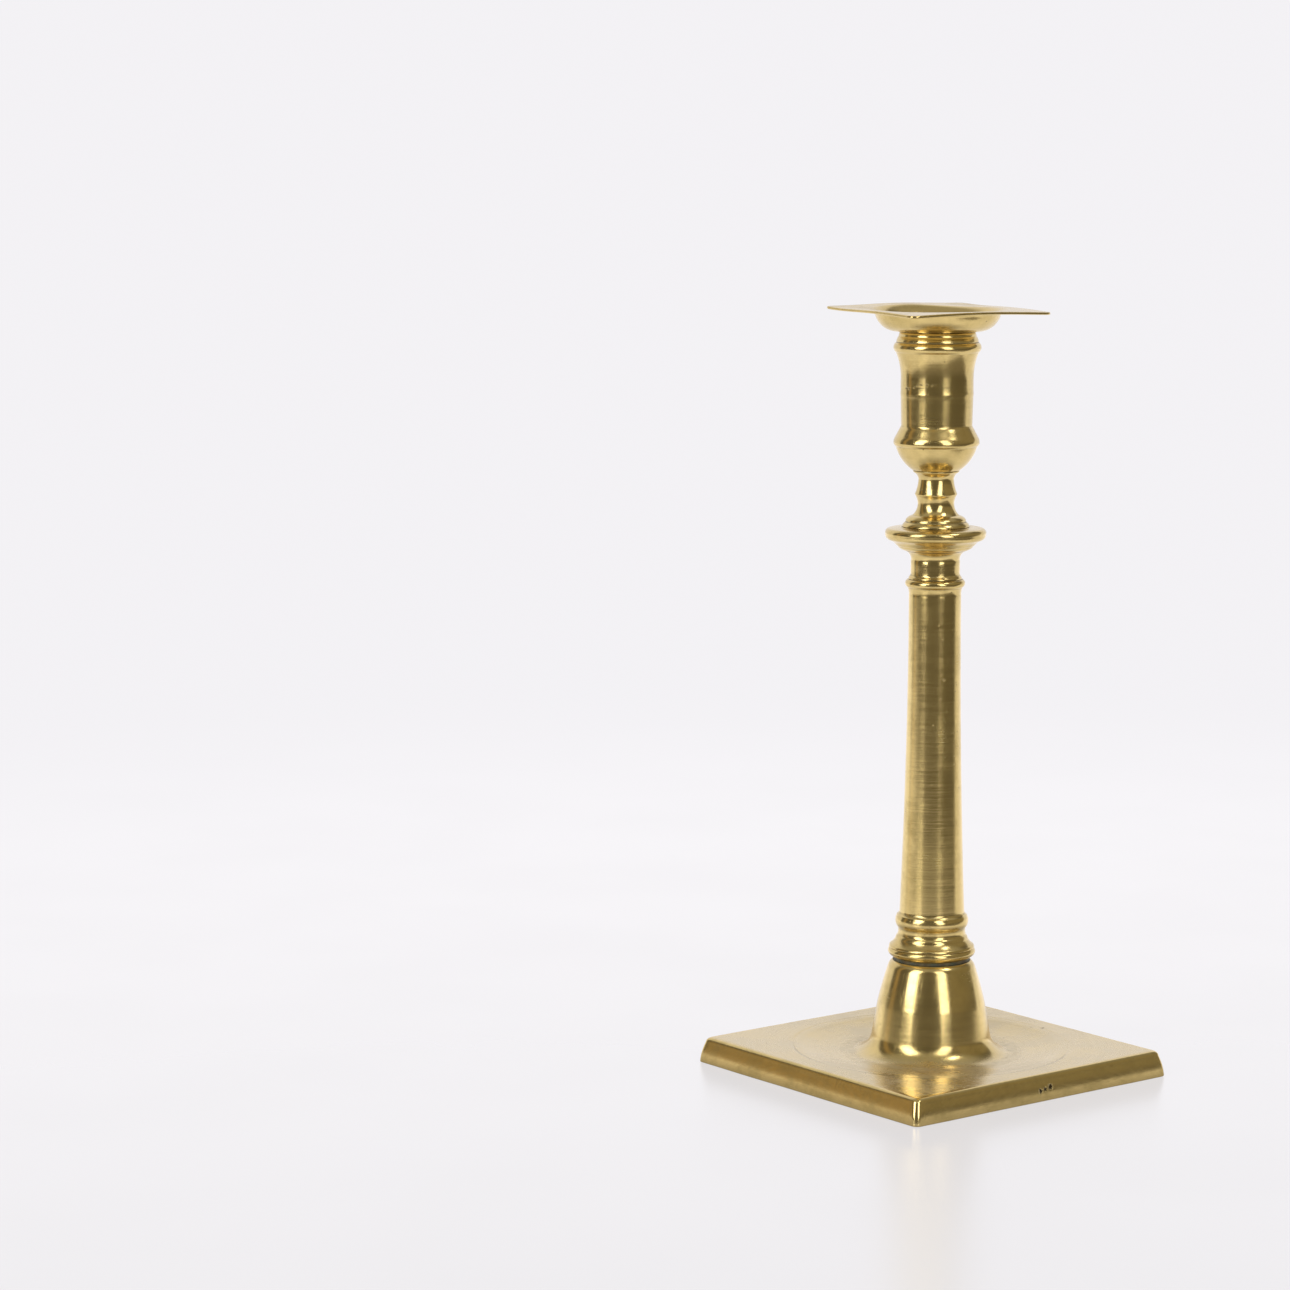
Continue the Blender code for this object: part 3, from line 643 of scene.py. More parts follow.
def rounded_square(half: float, corner: float, flat_steps: int = 30,
                   corner_steps: int = 10) -> np.ndarray:
    """Points of a square with rounded corners, starting in the middle of a side.

    Args:
        half: Half of its side.
        corner: The radius of its corners.
        flat_steps: Steps from the middle of a side to its corner.
        corner_steps: Steps round a corner.

    Returns:
        The points, one row each.
    """
    inner = half - corner
    quarter = [(half, inner * step / flat_steps) for step in range(flat_steps)]
    for step in range(corner_steps + 1):
        angle = QUARTER_TURN * step / corner_steps
        quarter.append((inner + corner * math.cos(angle), inner + corner * math.sin(angle)))
    quarter += [(inner * step / flat_steps, half) for step in range(flat_steps - 1, 0, -1)]
    return four_sides(quarter)


def outward(ring: np.ndarray) -> np.ndarray:
    """Unit directions from the axis to each point of a ring."""
    return ring / np.linalg.norm(ring, axis=1, keepdims=True)


def low(node: str) -> float:
    """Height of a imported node's lowest point, in millimetres."""
    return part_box(node)[0].z / MM


def high(node: str) -> float:
    """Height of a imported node's highest point, in millimetres."""
    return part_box(node)[1].z / MM


@dataclass
class Lathe:
    """Turns outlines into round pieces."""

    sides: int = 160
    ease: float = 0.16          # rubbed roundness of the sharp edges
    longest: float = 1.5        # longest run of an outline between two rings
    reach: float = 0.8          # how wide the hollows are in which dirt stays
    joint_dirt_and_shade: float = 0.6     # how much dirt and painted shade darken the metal where two pieces meet
    joint_reach: float = 0.35   # how far from the joint it goes

    def turn(self, name: str, outline: Outline, seat: float, raw_bore: Point = (0.0, 0.0),
             joints: Sequence[float] = (), waves: tuple[float, float] = (14.0, 0.02),
             sides: int = 0, longest: float = 0.0, dirty: Point = (0.0, 0.0)) -> bpy.types.Object:
        """Spin an outline about the axis.

        Args:
            name: The piece's name.
            outline: Its outline, with heights above the seat.
            seat: The seat's height.
            raw_bore: Radius inside which, and height above which, the metal is left as it was bored.
            joints: Heights above the seat where another piece meets it, where dirt gathers and shade is
                painted.
            waves: Spacing and height of the polishing waves.
            sides: How many steps a turn has, where it differs.
            longest: The longest run left undivided, where it differs.
            dirty: A band of heights that is full of dirt.

        Returns:
            The piece.
        """
        sides = sides or self.sides
        points = outline.eased(self.ease, longest or self.longest)
        shares = hollows(points, self.reach)
        # Next to each joint the metal is darkened: dirt, and painted shade between the pieces.
        for joint in joints:
            near = np.clip(1.0 - np.abs(points[:, 1] - joint) / self.joint_reach, 0.0, 1.0)
            shares = np.maximum(shares, near * self.joint_dirt_and_shade)
        shares = np.where((points[:, 1] > dirty[0]) & (points[:, 1] < dirty[1]), 1.0, shares)
        angles = np.linspace(0.0, FULL_TURN, sides, endpoint=False)
        rings = np.empty((len(points), sides, 3))
        rings[:, :, 0] = points[:, :1] * np.cos(angles)
        rings[:, :, 1] = points[:, :1] * np.sin(angles)
        rings[:, :, 2] = points[:, 1:] + seat
        thing = skin(name, rings, waves)
        mark(thing, "grime_and_shade", np.repeat(shares, sides))
        bored = (points[:, 0] < raw_bore[0]) & (points[:, 1] > raw_bore[1])
        mark(thing, "raw", np.repeat(bored.astype(float), sides))
        return thing


# ---------------------------------------------------------------- the foot
@dataclass
class SquareFoot:
    """The cast foot: a square plinth with a sunk round well, drawn up into a bell."""

    finish: BrassFinish
    wall: float = 2.4
    edge_height: float = 9.4        # table to the flat top
    lean: float = 1.6               # how far each side leans in
    side_bow: float = 0.25          # how far the middle of a side's height stands out
    top_round: float = 1.7
    corner: float = 2.3
    heel: float = 0.5               # rubbed lower edge
    rim: float = 5.0                # width of the face that stands on the table
    rim_draft: float = 0.6          # how far the rim thickens toward its top
    well: float = 50.0              # radius of the well
    well_floor: float = 6.7         # height of the well's floor
    well_lip: tuple[Stroke, ...] = ((-3.4, -0.55, -0.40), (0.8, 0.0, 0.14))    # from rim and top
    hole: float = 7.3
    bell_mouth: float = 14.2
    bell: tuple[Stroke, ...] = (
        (16.0, 39.6, 0.22),         # shoulder
        (19.9, 25.3, 0.20),         # middle
        (21.85, 14.0, 0.02),        # base
        (23.7, 9.8, -0.32),         # start of the flare
        (29.5, 6.9, -0.65),         # foot of the flare, on the well's floor
    )
    bell_base: float = 21.85
    flare_foot: float = 29.5
    web: float = 4.4                # thickness of metal over the bell's hollow
    hollow_mouth: Point = (5.4, 1.5)        # height and bow of the flare into the bell's hollow
    hollow_bow: float = -0.9
    film_from: Point = (24.0, 5.0)  # radius where the pale film starts, and width of its start
    border_rings: int = 9
    round_rings: int = 7
    side_rings: int = 8
    inner_rings: int = 5
    waves: Point = (26.0, 0.07)

    def outside(self) -> np.ndarray:
        """Outline of the bell and the well, from the bell's mouth out to the well's lip.

        Returns:
            The points, one row each.
        """
        line = Outline([(self.hole, self.top)], 0.5).to((self.bell_mouth, self.top))
        line.follow(*self.bell)
        for out, rise, bow in self.well_lip:
            line.arc((self.well + out, self.edge_height + rise), bow)
        fine = line.eased(0.10, 0.8)
        return fine[:int(np.argmax(fine[:, 0])) + 1]

    def underside(self) -> np.ndarray:
        """Outline of the hollow under the well and inside the bell, from outside in.

        Returns:
            The points, one row each.
        """
        boss = self.well_floor - self.wall
        web = self.top - self.web
        line = Outline([(self.well + self.wall, self.edge_height - self.wall)], 1.0)
        line.arc((self.well - 2.0, boss), 0.2).to((self.flare_foot - self.wall, boss))
        rise, bow = self.hollow_mouth
        line.arc((self.bell_base - self.wall, boss + rise), bow)
        line.arc((self.bell_mouth - self.wall * 0.5, web), self.hollow_bow).to((self.hole, web))
        fine = line.eased(0.4, 2.0)
        return fine[:int(np.argmin(fine[:, 0])) + 1]

    def build(self) -> None:
        """Shape and dress the foot."""
        corner_low, corner_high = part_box("foot")
        self.top = corner_high.z / MM + FIT - JOINT
        self.half = (corner_high.x - corner_low.x) / 2.0 / MM
        stack = RingStack()
        rays = outward(rounded_square(self.half, self.corner))
        self.lay_top(stack, rays)
        self.lay_sides(stack)
        for radius, height in self.underside():
            stack.lay(rays * radius, height, 0.25, 1.0)
        thing = stack.close("brass_foot", self.waves)
        settle(thing, "foot", Body.STICK, self.finish.material())

    def lay_top(self, stack: RingStack, rays: np.ndarray) -> None:
        """Lay the bell, the well and the flat border round it.

        Args:
            stack: The rings so far.
            rays: Unit directions of a ring's points.
        """
        outside = self.outside()
        start, width = self.film_from
        for radius, height in outside:
            joint = max(0.0, 1.0 - abs(self.top - height) / 0.3) if radius > self.hole + 1.0 else 1.0
            in_ring = start < radius < start + 10.0
            sunk = math.exp(-((height - self.well_floor) / 0.9) ** 2) * in_ring
            film = min(1.0, max(0.0, (radius - start) / width))
            stack.lay(rays * radius, height, max(joint, 0.45 * sunk), 0.0, film)
        mouth = rays * outside[-1][0]
        shelf = rounded_square(self.half - self.lean - self.top_round, self.corner)
        for step in range(1, self.border_rings):
            share = step / self.border_rings
            stack.lay(mouth * (1.0 - share) + shelf * share, self.edge_height, film=1.0)

    def lay_sides(self, stack: RingStack) -> None:
        """Lay the rounded top edge, the leaning sides, the standing face and the rim's inside.

        Args:
            stack: The rings so far.
        """
        steep = 0.93                # share of a quarter turn that the top's rounding takes
        for step in range(self.round_rings):
            angle = QUARTER_TURN * step / (self.round_rings - 1) * steep
            inset = self.lean + self.top_round * (1.0 - math.sin(angle))
            drop = self.top_round * (1.0 - math.cos(angle))
            stack.lay(rounded_square(self.half - inset, self.corner), self.edge_height - drop)
        side_top = self.edge_height - self.top_round
        for step in range(1, self.side_rings + 1):
            share = step / self.side_rings
            bow = self.side_bow * math.sin(math.pi * share)
            reach = self.half - self.lean * (1.0 - share) * 0.94 + bow - 0.06
            height = side_top + (self.heel - side_top) * share
            stack.lay(rounded_square(min(reach, self.half), self.corner), height)
        low_edge = self.heel * 0.3
        for inset, height, dirt, raw in ((low_edge, low_edge, 0.0, 0.3), (self.heel, 0.0, 0.5, 0.6),
                                         (self.rim - self.heel, 0.0, 0.5, 0.8)):
            stack.lay(rounded_square(self.half - inset, self.corner), height, dirt, raw)
        for step in range(self.inner_rings):
            share = step / (self.inner_rings - 1)
            inner = self.half - self.rim - self.rim_draft * share
            stack.lay(rounded_square(inner, self.corner), (self.edge_height - self.wall) * share, 0.3, 1.0)


# ---------------------------------------------------------------- the column
@dataclass
class Column:
    """The stacked sections between foot and socket: collar, shaft, neck, flange and knop."""

    finish: BrassFinish
    lathe: Lathe
    rod_hole: float = 3.4
    tenon: float = 4.0              # length of every tenon
    tenon_room: float = 0.5         # room past a tenon's end
    shaft_tenon: float = 7.0
    neck_tenon: float = 6.4
    knop_tenon: float = 5.2
    collar_top: float = 15.45
    collar_edge: tuple[Stroke, ...] = (
        (16.15, 3.2, 0.14),         # crown
        (15.25, 1.75, 0.20),
        (14.6, 1.25, 0.0),          # undercut down to the bell
        (14.15, 0.95, 0.0),
        (14.1, 0.0, 0.0),
    )
    collar_dirt: Point = (-0.1, 0.98)       # heights between which the joint is full of dirt
    shaft_top: float = 10.05
    ring_height: float = 3.9        # height of the ring at the shaft's top
    shaft_ring: tuple[Stroke, ...] = ((10.1, 1.0, 0.87), (9.58, -2.0, -0.22))
    shaft_side: tuple[Stroke, ...] = (
        (11.97, 13.7, -0.60),       # the taper, a little hollow
        (12.95, 12.1, -0.26),
        (13.0, 11.9, 0.0),
        (12.9, 7.9, 0.54),          # bead
        (12.65, 7.6, 0.0),
        (12.5, 7.2, 0.0),
        (12.7, 4.6, -0.22),         # hollow
        (13.45, 3.1, 0.12),
        (15.4, 0.95, -0.18),        # flare
        (15.75, 0.1, 0.08),
        (15.6, 0.0, 0.0),
    )
    neck_top: float = 11.15
    neck_side: tuple[Stroke, ...] = (
        (9.0, 6.4, -0.85),          # cove under the flange
        (9.0, 1.9, 0.0),
        (9.4, 0.95, -0.08),
        (9.7, 0.6, 0.0),
        (9.75, 0.0, 0.0),
    )
    flange_top: float = 12.3
    flange_side: tuple[Stroke, ...] = (
        (13.2, 8.35, 0.0),
        (16.9, 8.1, 0.05),          # upper face
        (18.38, 5.9, 0.62),         # rounded edge
        (17.0, 3.85, 0.42),
        (16.3, 3.6, 0.0),
        (14.35, 1.95, -0.16),       # mouldings under it
        (13.85, 1.65, 0.0),
        (13.7, 1.3, 0.0),
        (11.25, 0.0, 0.22),
    )
    knop_top: float = 8.45
    knop_side: tuple[Stroke, ...] = (
        (8.35, 19.9, 0.0),
        (6.45, 17.3, -0.42),        # waist under the socket
        (7.72, 11.9, -0.24),
        (7.6, 11.55, 0.0),          # quirk
        (6.7, 9.1, -0.12),
        (8.45, 4.2, -0.62),         # lower waist
        (8.75, 4.05, 0.0),
        (10.95, 2.6, 0.24),         # upper step
        (11.05, 1.75, 0.0),
        (12.25, 0.35, 0.14),        # lower step
        (12.3, 0.0, 0.0),
    )

    def build(self) -> None:
        """Shape and dress the five sections."""
        material = self.finish.material()
        for name, piece in (("base_collar", self.collar), ("shaft", self.shaft), ("neck", self.neck),
                            ("flange", self.flange), ("knop", self.knop)):
            settle(piece(), name, Body.STICK, material)

    def collar(self) -> bpy.types.Object:
        """The ring that covers the joint between bell and shaft.

        Returns:
            The piece.
        """
        tall = high("base_collar") - low("base_collar") + FIT - JOINT
        hole = self.shaft_tenon + FIT
        line = Outline([(hole, tall), (self.collar_top, tall)]).follow(*self.collar_edge)
        line.to((hole, 0.0))
        return self.lathe.turn("brass_base_collar", line, low("base_collar"), dirty=self.collar_dirt)

    def shaft(self) -> bpy.types.Object:
        """The tapered column with its base mouldings and its top ring.

        Returns:
            The piece.
        """
        seat = high("base_collar") + FIT
        tall = high("shaft") - seat + FIT - JOINT
        foot = low("shaft") - seat
        recess = self.neck_tenon + FIT
        recess_foot = tall - self.tenon - self.tenon_room
        line = Outline([(recess, tall), (self.shaft_top, tall)])
        line.follow(*self.shaft_ring, base=tall - self.ring_height).follow(*self.shaft_side)
        line.to((self.shaft_tenon, 0.0), (self.shaft_tenon, foot), (self.rod_hole, foot))
        line.to((self.rod_hole, recess_foot), (recess, recess_foot))
        return self.lathe.turn("brass_shaft", line, seat, joints=(0.0, tall), longest=0.85,
                               waves=(16.0, 0.035))

    def neck(self) -> bpy.types.Object:
        """The waisted section above the shaft.

        Returns:
            The piece.
        """
        seat = high("shaft") + FIT
        tall = low("flange") - JOINT - seat
        foot = low("neck") - seat
        recess = self.knop_tenon + FIT
        recess_foot = tall - self.tenon - self.tenon_room
        line = Outline([(recess, tall), (self.neck_top, tall)]).follow(*self.neck_side)
        line.to((self.neck_tenon, 0.0), (self.neck_tenon, foot), (self.rod_hole, foot))
        line.to((self.rod_hole, recess_foot), (recess, recess_foot))
        return self.lathe.turn("brass_neck", line, seat, joints=(0.0, tall))

    def flange(self) -> bpy.types.Object:
        """The wide rounded disc between neck and knop.

        Returns:
            The piece.
        """
        tall = high("flange") - low("flange") + FIT - JOINT
        hole = self.knop_tenon + FIT
        line = Outline([(hole, tall), (self.flange_top, tall)]).follow(*self.flange_side)
        line.to((hole, 0.0))
        return self.lathe.turn("brass_flange", line, low("flange"), joints=(0.0, tall))

    def knop(self) -> bpy.types.Object:
        """The small baluster under the socket.

        Returns:
            The piece.
        """
        seat = high("flange") + FIT
        tall = low("socket") - JOINT - seat
        top, foot = high("knop") - seat, low("knop") - seat
        line = Outline([(self.rod_hole, top), (self.knop_tenon, top), (self.knop_tenon, tall)])
        line.to((self.knop_top, tall)).follow(*self.knop_side)
        line.to((self.knop_tenon, 0.0), (self.knop_tenon, foot), (self.rod_hole, foot))
        return self.lathe.turn("brass_knop", line, seat, joints=(0.0, tall))


# ---------------------------------------------------------------- the socket
@dataclass
class CandleSocket:
    """The beaded cup that holds the nozzle."""

    finish: BrassFinish
    lathe: Lathe
    bore: float = 11.4
    floor: float = 6.6
    rod_hole: float = 3.4
    knop_tenon: float = 5.2
    recess_room: float = 0.5        # room past the knop's tenon
    lip: float = 13.65              # outer radius at the mouth
    side: tuple[Stroke, ...] = (
        (14.1, 48.8, 0.10),         # lip
        (14.22, 48.6, 0.0),
        (14.95, 46.75, 0.12),
        (14.85, 46.55, 0.0),        # quirk
        (15.2, 46.35, 0.0),
        (15.2, 43.0, 0.76),         # top bead
        (15.0, 42.8, 0.0),
        (13.2, 34.0, -0.42),        # flare under the bead
        (13.2, 30.4, 0.0),          # upper waist
        (13.28, 27.85, -0.02),
        (13.16, 26.95, 0.0),        # break line, a small step
        (12.93, 16.4, 0.0),         # lower waist
        (13.45, 15.3, -0.06),
        (14.95, 12.45, 0.0),
        (15.62, 10.6, 0.12),        # low bead
        (14.95, 8.9, 0.28),
        (14.75, 8.6, 0.0),
        (8.5, 0.0, 0.95),           # cup
    )

    def build(self) -> None:
        """Shape and dress the socket."""
        seat = low("socket")
        tall = high("socket") - seat
        recess = self.knop_tenon + FIT
        recess_top = high("knop") - seat + self.recess_room
        line = Outline([(self.bore, tall), (self.lip, tall)]).follow(*self.side)
        line.to((recess, 0.0), (recess, recess_top), (self.rod_hole, recess_top))
        line.to((self.rod_hole, self.floor), (self.bore, self.floor))
        bored = (self.bore + 0.05, self.floor - 0.1)
        thing = self.lathe.turn("brass_socket", line, seat, bored, joints=(0.0,))
        settle(thing, "socket", Body.STICK, self.finish.material())


# ---------------------------------------------------------------- the ironwork
@dataclass
class ClampingIronwork:
    """The tie rod with its slotted head, the washer and the square nut."""

    finish: IronFinish
    lathe: Lathe
    rod: float = 3.0
    head: float = 6.6
    head_height: float = 3.2
    slot: tuple[float, float] = (1.2, 1.4)      # width and depth
    pitch: float = 1.2
    thread_depth: float = 0.55
    thread_length: float = 16.0
    rod_sides: int = 48
    rings_per_turn: int = 12        # rings in one turn of the thread
    nut_half: float = 6.0
    nut_corner: float = 0.6
    nut_dome: tuple[Point, ...] = ((0.9, 1.34), (0.45, 1.18), (0.1, 1.04))  # rise and share of reach
    nut_sharp: float = 38.0         # degrees from which an edge is sharp
    washer_hole: float = 3.4

    def build(self) -> None:
        """Shape and dress the three pieces."""
        material = self.finish.material()
        settle(self.tie_rod(), "tie_rod", Body.STICK, material)
        settle(self.washer(), "clamp_washer", Body.STICK, material)
        settle(self.nut(), "square_nut", Body.STICK, material)

    def tie_rod(self) -> bpy.types.Object:
        """The rod: a domed head with a driver's slot, a plain shank and a cut thread.

        Returns:
            The piece.
        """
        foot, top = low("tie_rod"), high("tie_rod")
        head_foot = top - self.head_height
        thread_top = foot + self.thread_length
        line = Outline([(AXIS_RADIUS, top), (self.head * 0.5, top)])
        line.arc((self.head, head_foot + 0.6), 0.5).to((self.head, head_foot), (self.rod, head_foot))
        head = line.eased(0.2, 1.0)
        head = [tuple(point) for point in head[:int(np.argmin(head[:, 1])) + 1]]
        steps = int(self.thread_length / self.pitch * self.rings_per_turn)
        shank = [(self.rod, height) for height in np.linspace(head_foot, thread_top, 40)]
        thread = [(self.rod, height) for height in np.linspace(thread_top, foot + 0.6, steps)]
        end = [(self.rod * 0.72, foot), (AXIS_RADIUS, foot)]
        points = np.array(head + shank[1:] + thread[1:] + end)
        angles = np.linspace(0.0, FULL_TURN, self.rod_sides, endpoint=False)
        radius, height = points[:, :1], points[:, 1:]
        turn = ((height - foot) / self.pitch - angles / FULL_TURN) % 1.0
        groove = self.thread_depth * (1.0 - np.abs(2.0 * turn - 1.0))
        fade = np.clip((thread_top - height) / 2.0, 0.0, 1.0)
        radius = radius - groove * fade * (np.abs(radius - self.rod) < 0.01)
        rings = np.stack([radius * np.cos(angles), radius * np.sin(angles),
                          np.broadcast_to(height, radius.shape)], 2)
        thing = skin("iron_tie_rod", rings, (6.0, 0.02), ends_open=True)
        self.cut_slot(thing, top)
        return thing

    def cut_slot(self, thing: bpy.types.Object, top: float) -> None:
        """Close the rod's ends on the axis and cut the slot across its head.

        Args:
            thing: The rod.
            top: The height of its head.
        """
        bm = bmesh.new()
        bm.from_mesh(thing.data)
        bmesh.ops.remove_doubles(bm, verts=bm.verts, dist=0.003 * MM)
        bmesh.ops.holes_fill(bm, edges=bm.edges)
        bm.to_mesh(thing.data)
        bm.free()
        width, depth = self.slot
        tool = bmesh.new()
        bmesh.ops.create_cube(tool, size=MM)
        bmesh.ops.bevel(tool, geom=tool.edges, offset=0.02 * MM, segments=1, affect="EDGES")
        size = Matrix.Diagonal((self.head * 3.0, width, depth * 2.0, 1.0))
        bmesh.ops.transform(tool, matrix=Matrix.Translation((0, 0, top * MM)) @ size, verts=tool.verts)
        mesh = bpy.data.meshes.new("slot_tool")
        tool.to_mesh(mesh)
        tool.free()
        cutter = bpy.data.objects.new("slot_tool", mesh)
        bpy.context.scene.collection.objects.link(cutter)
        cut = thing.modifiers.new("slot", "BOOLEAN")
        cut.object = cutter
        shaped = bpy.data.meshes.new_from_object(thing.evaluated_get(bpy.context.evaluated_depsgraph_get()))
        thing.modifiers.clear()
        thing.data = shaped
        shaped.shade_smooth()
        shaped.set_sharp_from_angle(angle=math.radians(40.0))
        bpy.data.objects.remove(cutter)

    def washer(self) -> bpy.types.Object:
        """The plain washer under the bell's web.

        Returns:
            The piece.
        """
        thick = high("clamp_washer") - low("clamp_washer")
        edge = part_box("clamp_washer")[1].x / MM
        line = Outline([(self.washer_hole, thick), (edge, thick), (edge, 0.0), (self.washer_hole, 0.0)])
        return self.lathe.turn("iron_clamp_washer", line, low("clamp_washer"), sides=64, waves=(5.0, 0.06))

    def nut(self) -> bpy.types.Object:
        """The square nut, its lower corners filed to a dome.

        Returns:
            The piece.
        """
        foot, top = low("square_nut"), high("square_nut")
        hole, half = self.rod + FIT, self.nut_half
        whole = 99.0                # a dome too wide to touch the corners
        rays = outward(rounded_square(1.0, 0.1, 8, 4))
        stack = RingStack()

        def ring(side: float, height: float, dome: float = whole) -> None:
            """Lay one square ring, its corners pulled in to a dome's reach."""
            flat = rounded_square(side, self.nut_corner, 8, 4)
            reach = np.linalg.norm(flat, axis=1, keepdims=True)
            stack.lay(flat * np.minimum(1.0, dome / reach), height)

        stack.lay(rays * (hole + 0.4), top)
        ring(half - 0.3, top)
        ring(half, top - 0.3)
        for height in np.linspace(top - 1.0, foot + 1.4, 4):
            ring(half, height)
        for rise, reach in self.nut_dome:
            ring(half, foot + rise, half * reach)
        ring(half - 0.3, foot, half * 0.97)
        stack.lay(rays * (hole + 0.5), foot)
        stack.lay(rays * hole, foot + 0.5)
        stack.lay(rays * hole, top - 0.5)
        thing = stack.close("iron_square_nut", (5.0, 0.06))
        thing.data.set_sharp_from_angle(angle=math.radians(self.nut_sharp))
        return thing


# ---------------------------------------------------------------- the nozzle
@dataclass
class LiftOutNozzle:
    """The loose nozzle: a square drip pan of sheet brass on a short tube."""

    finish: BrassFinish
    lathe: Lathe
    sheet: float = 1.0
    half: float = 30.0
    corner_cut: float = 2.6
    turn: float = -9.0              # degrees, how the pan stands against the foot
    dish_mouth: float = 22.9
    dish_floor: float = 14.4
    dish_inside: tuple[Stroke, ...] = ((20.8, -2.3, -0.45), (25.6, 0.0, 0.50))     # from the brim
    dish_outside: tuple[Point, Stroke] = ((24.1, -1.0), (22.7, -1.8, -0.28))       # from the brim
    dish_swell: float = 1.5
    tube: float = 11.1
    tube_wall: float = 1.0
    bend: tuple[float, ...] = (-0.3, 1.0, 1.0, -0.4)    # lift of each corner
    arch: tuple[float, ...] = (0.6, 0.6, 1.5, 0.6)      # how far each side is bowed up
    dish_follows: float = 0.6       # how much of a bow the dish's edge follows
    curl: float = 1.6               # how much the bend gathers at the corners
    flat_steps: int = 34
    cut_steps: int = 6
    brim_rings: int = 12
    brim_edge: tuple[Point, ...] = (            # how far in and how far down round the brim's edge
        (0.3, 0.0), (0.09, 0.09), (0.0, 0.3), (0.0, 0.7), (0.09, 0.91), (0.3, 1.0))
    waves: Point = (18.0, 0.10)

    def build(self) -> None:
        """Shape and dress the pan and the tube."""
        material = self.finish.material()
        settle(self.pan(), "nozzle_pan", Body.NOZZLE, material)
        settle(self.candle_tube(), "nozzle_tube", Body.NOZZLE, material)

    def square(self, half: float, cut: float) -> np.ndarray:
        """Points of a square with its sharp corners filed off.

        Args:
            half: Half of its side.
            cut: How much each corner has lost.

        Returns:
            The points, one row each.
        """
        inner = half - cut
        quarter = [(half, inner * step / self.flat_steps) for step in range(self.flat_steps)]
        for step in range(self.cut_steps + 1):
            share = step / self.cut_steps
            swell = cut * 0.16 * math.sin(math.pi * share)
            quarter.append((half - cut * share + swell, inner + cut * share + swell))
        quarter += [(inner * step / self.flat_steps, half) for step in range(self.flat_steps - 1, 0, -1)]
        return four_sides(quarter)

    def pan(self) -> bpy.types.Object:
        """The pan: a round dish pressed into a square sheet, its corners a little bent.

        Returns:
            The piece.
        """
        floor, top = low("nozzle_pan"), high("nozzle_pan")
        under = top - self.sheet
        rays = outward(self.square(self.half, self.corner_cut))
        hole = self.tube + FIT
        upper = Outline([(hole, floor + self.sheet), (self.dish_floor, floor + self.sheet)], 0.5)
        upper.follow(*self.dish_inside, base=top)
        (start, drop), edge = self.dish_outside
        lower = Outline([(start, top + drop)], 0.5).follow(edge, base=top)
        lower.arc((self.dish_floor + 0.9, floor), self.dish_swell).to((hole, floor))
        stack = RingStack()
        for radius, height in upper.points:
            dirt = max(0.0, 1.0 - (radius - hole - 1.5) / 1.2) if radius < self.dish_floor + 0.6 else 0.0
            stack.lay(rays * radius, height, dirt)
        brim = self.square(self.half - self.brim_edge[0][0], self.corner_cut)
        self.lay_brim(stack, rays * upper.points[-1][0], brim, top)
        for inset, drop in self.brim_edge:
            stack.lay(self.square(self.half - inset, self.corner_cut), top - drop)
        self.lay_brim(stack, brim, rays * lower.points[0][0], under)
        for radius, height in lower.points:
            stack.lay(rays * radius, height, 0.9 if radius < self.dish_floor + 0.5 else 0.0)
        stack.rings = list(self.bent(np.array(stack.rings)))
        return stack.close("brass_nozzle_pan", self.waves)

    def lay_brim(self, stack: RingStack, start: np.ndarray, end: np.ndarray, height: float) -> None:
        """Lay the flat rings between two others.

        Args:
            stack: The rings so far.
            start: The ring that they start after, in plan.
            end: The ring that they stop before, in plan.
            height: Their height.
        """
        for step in range(1, self.brim_rings):
            share = step / self.brim_rings
            stack.lay(start * (1.0 - share) + end * share, height)

    def bent(self, rings: np.ndarray) -> np.ndarray:
        """Lift each corner of the brim by its own amount, and turn the pan.

        Args:
            rings: The flat pan's rings.

        Returns:
            The bent and turned rings.
        """
        angle = np.arctan2(rings[:, :, 1], rings[:, :, 0])
        reach = np.linalg.norm(rings[:, :, :2], axis=2)
        room = self.half * math.sqrt(2.0) - self.dish_mouth
        past = np.clip((reach - self.dish_mouth) / room, 0.0, 1.0)
        brim = np.clip((reach - self.dish_mouth + 3.0) / 5.0, 0.0, 1.0)
        for quarter, (lift, bow) in enumerate(zip(self.bend, self.arch)):
            side = QUARTER_TURN * quarter
            near_side = np.clip(np.cos(angle - side), 0.0, 1.0) ** 4
            rings[:, :, 2] += bow * near_side * (brim * self.dish_follows + past)
            near = np.clip(np.cos(angle - side - QUARTER_TURN / 2.0), 0.0, 1.0) ** 2
            bowed = (bow + self.arch[(quarter + 1) % 4]) * (self.dish_follows + 1.0) / 4.0
            rings[:, :, 2] += (lift - bowed) * near * past ** self.curl
        spin = np.array(Matrix.Rotation(math.radians(self.turn), 2))
        rings[:, :, :2] = rings[:, :, :2] @ spin.T
        return rings

    def candle_tube(self) -> bpy.types.Object:
        """The tube that takes the candle, with its lip turned over on the pan's floor.

        Returns:
            The piece.
        """
        foot, top = low("nozzle_tube"), high("nozzle_tube")
        bore = self.tube - self.tube_wall
        pan_floor = low("nozzle_pan") + self.sheet + FIT - top
        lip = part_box("nozzle_tube")[1].x / MM
        line = Outline([(bore, -0.55)]).arc((bore + 0.6, 0.0), 0.18).arc((lip, pan_floor + 0.1), 0.18)
        line.to((lip - 0.1, pan_floor), (self.tube, pan_floor))
        line.to((self.tube, foot - top), (bore, foot - top))
        bored = (bore + 0.02, foot - top - 1.0)
        return self.lathe.turn("brass_nozzle_tube", line, top, bored, joints=(pan_floor,))


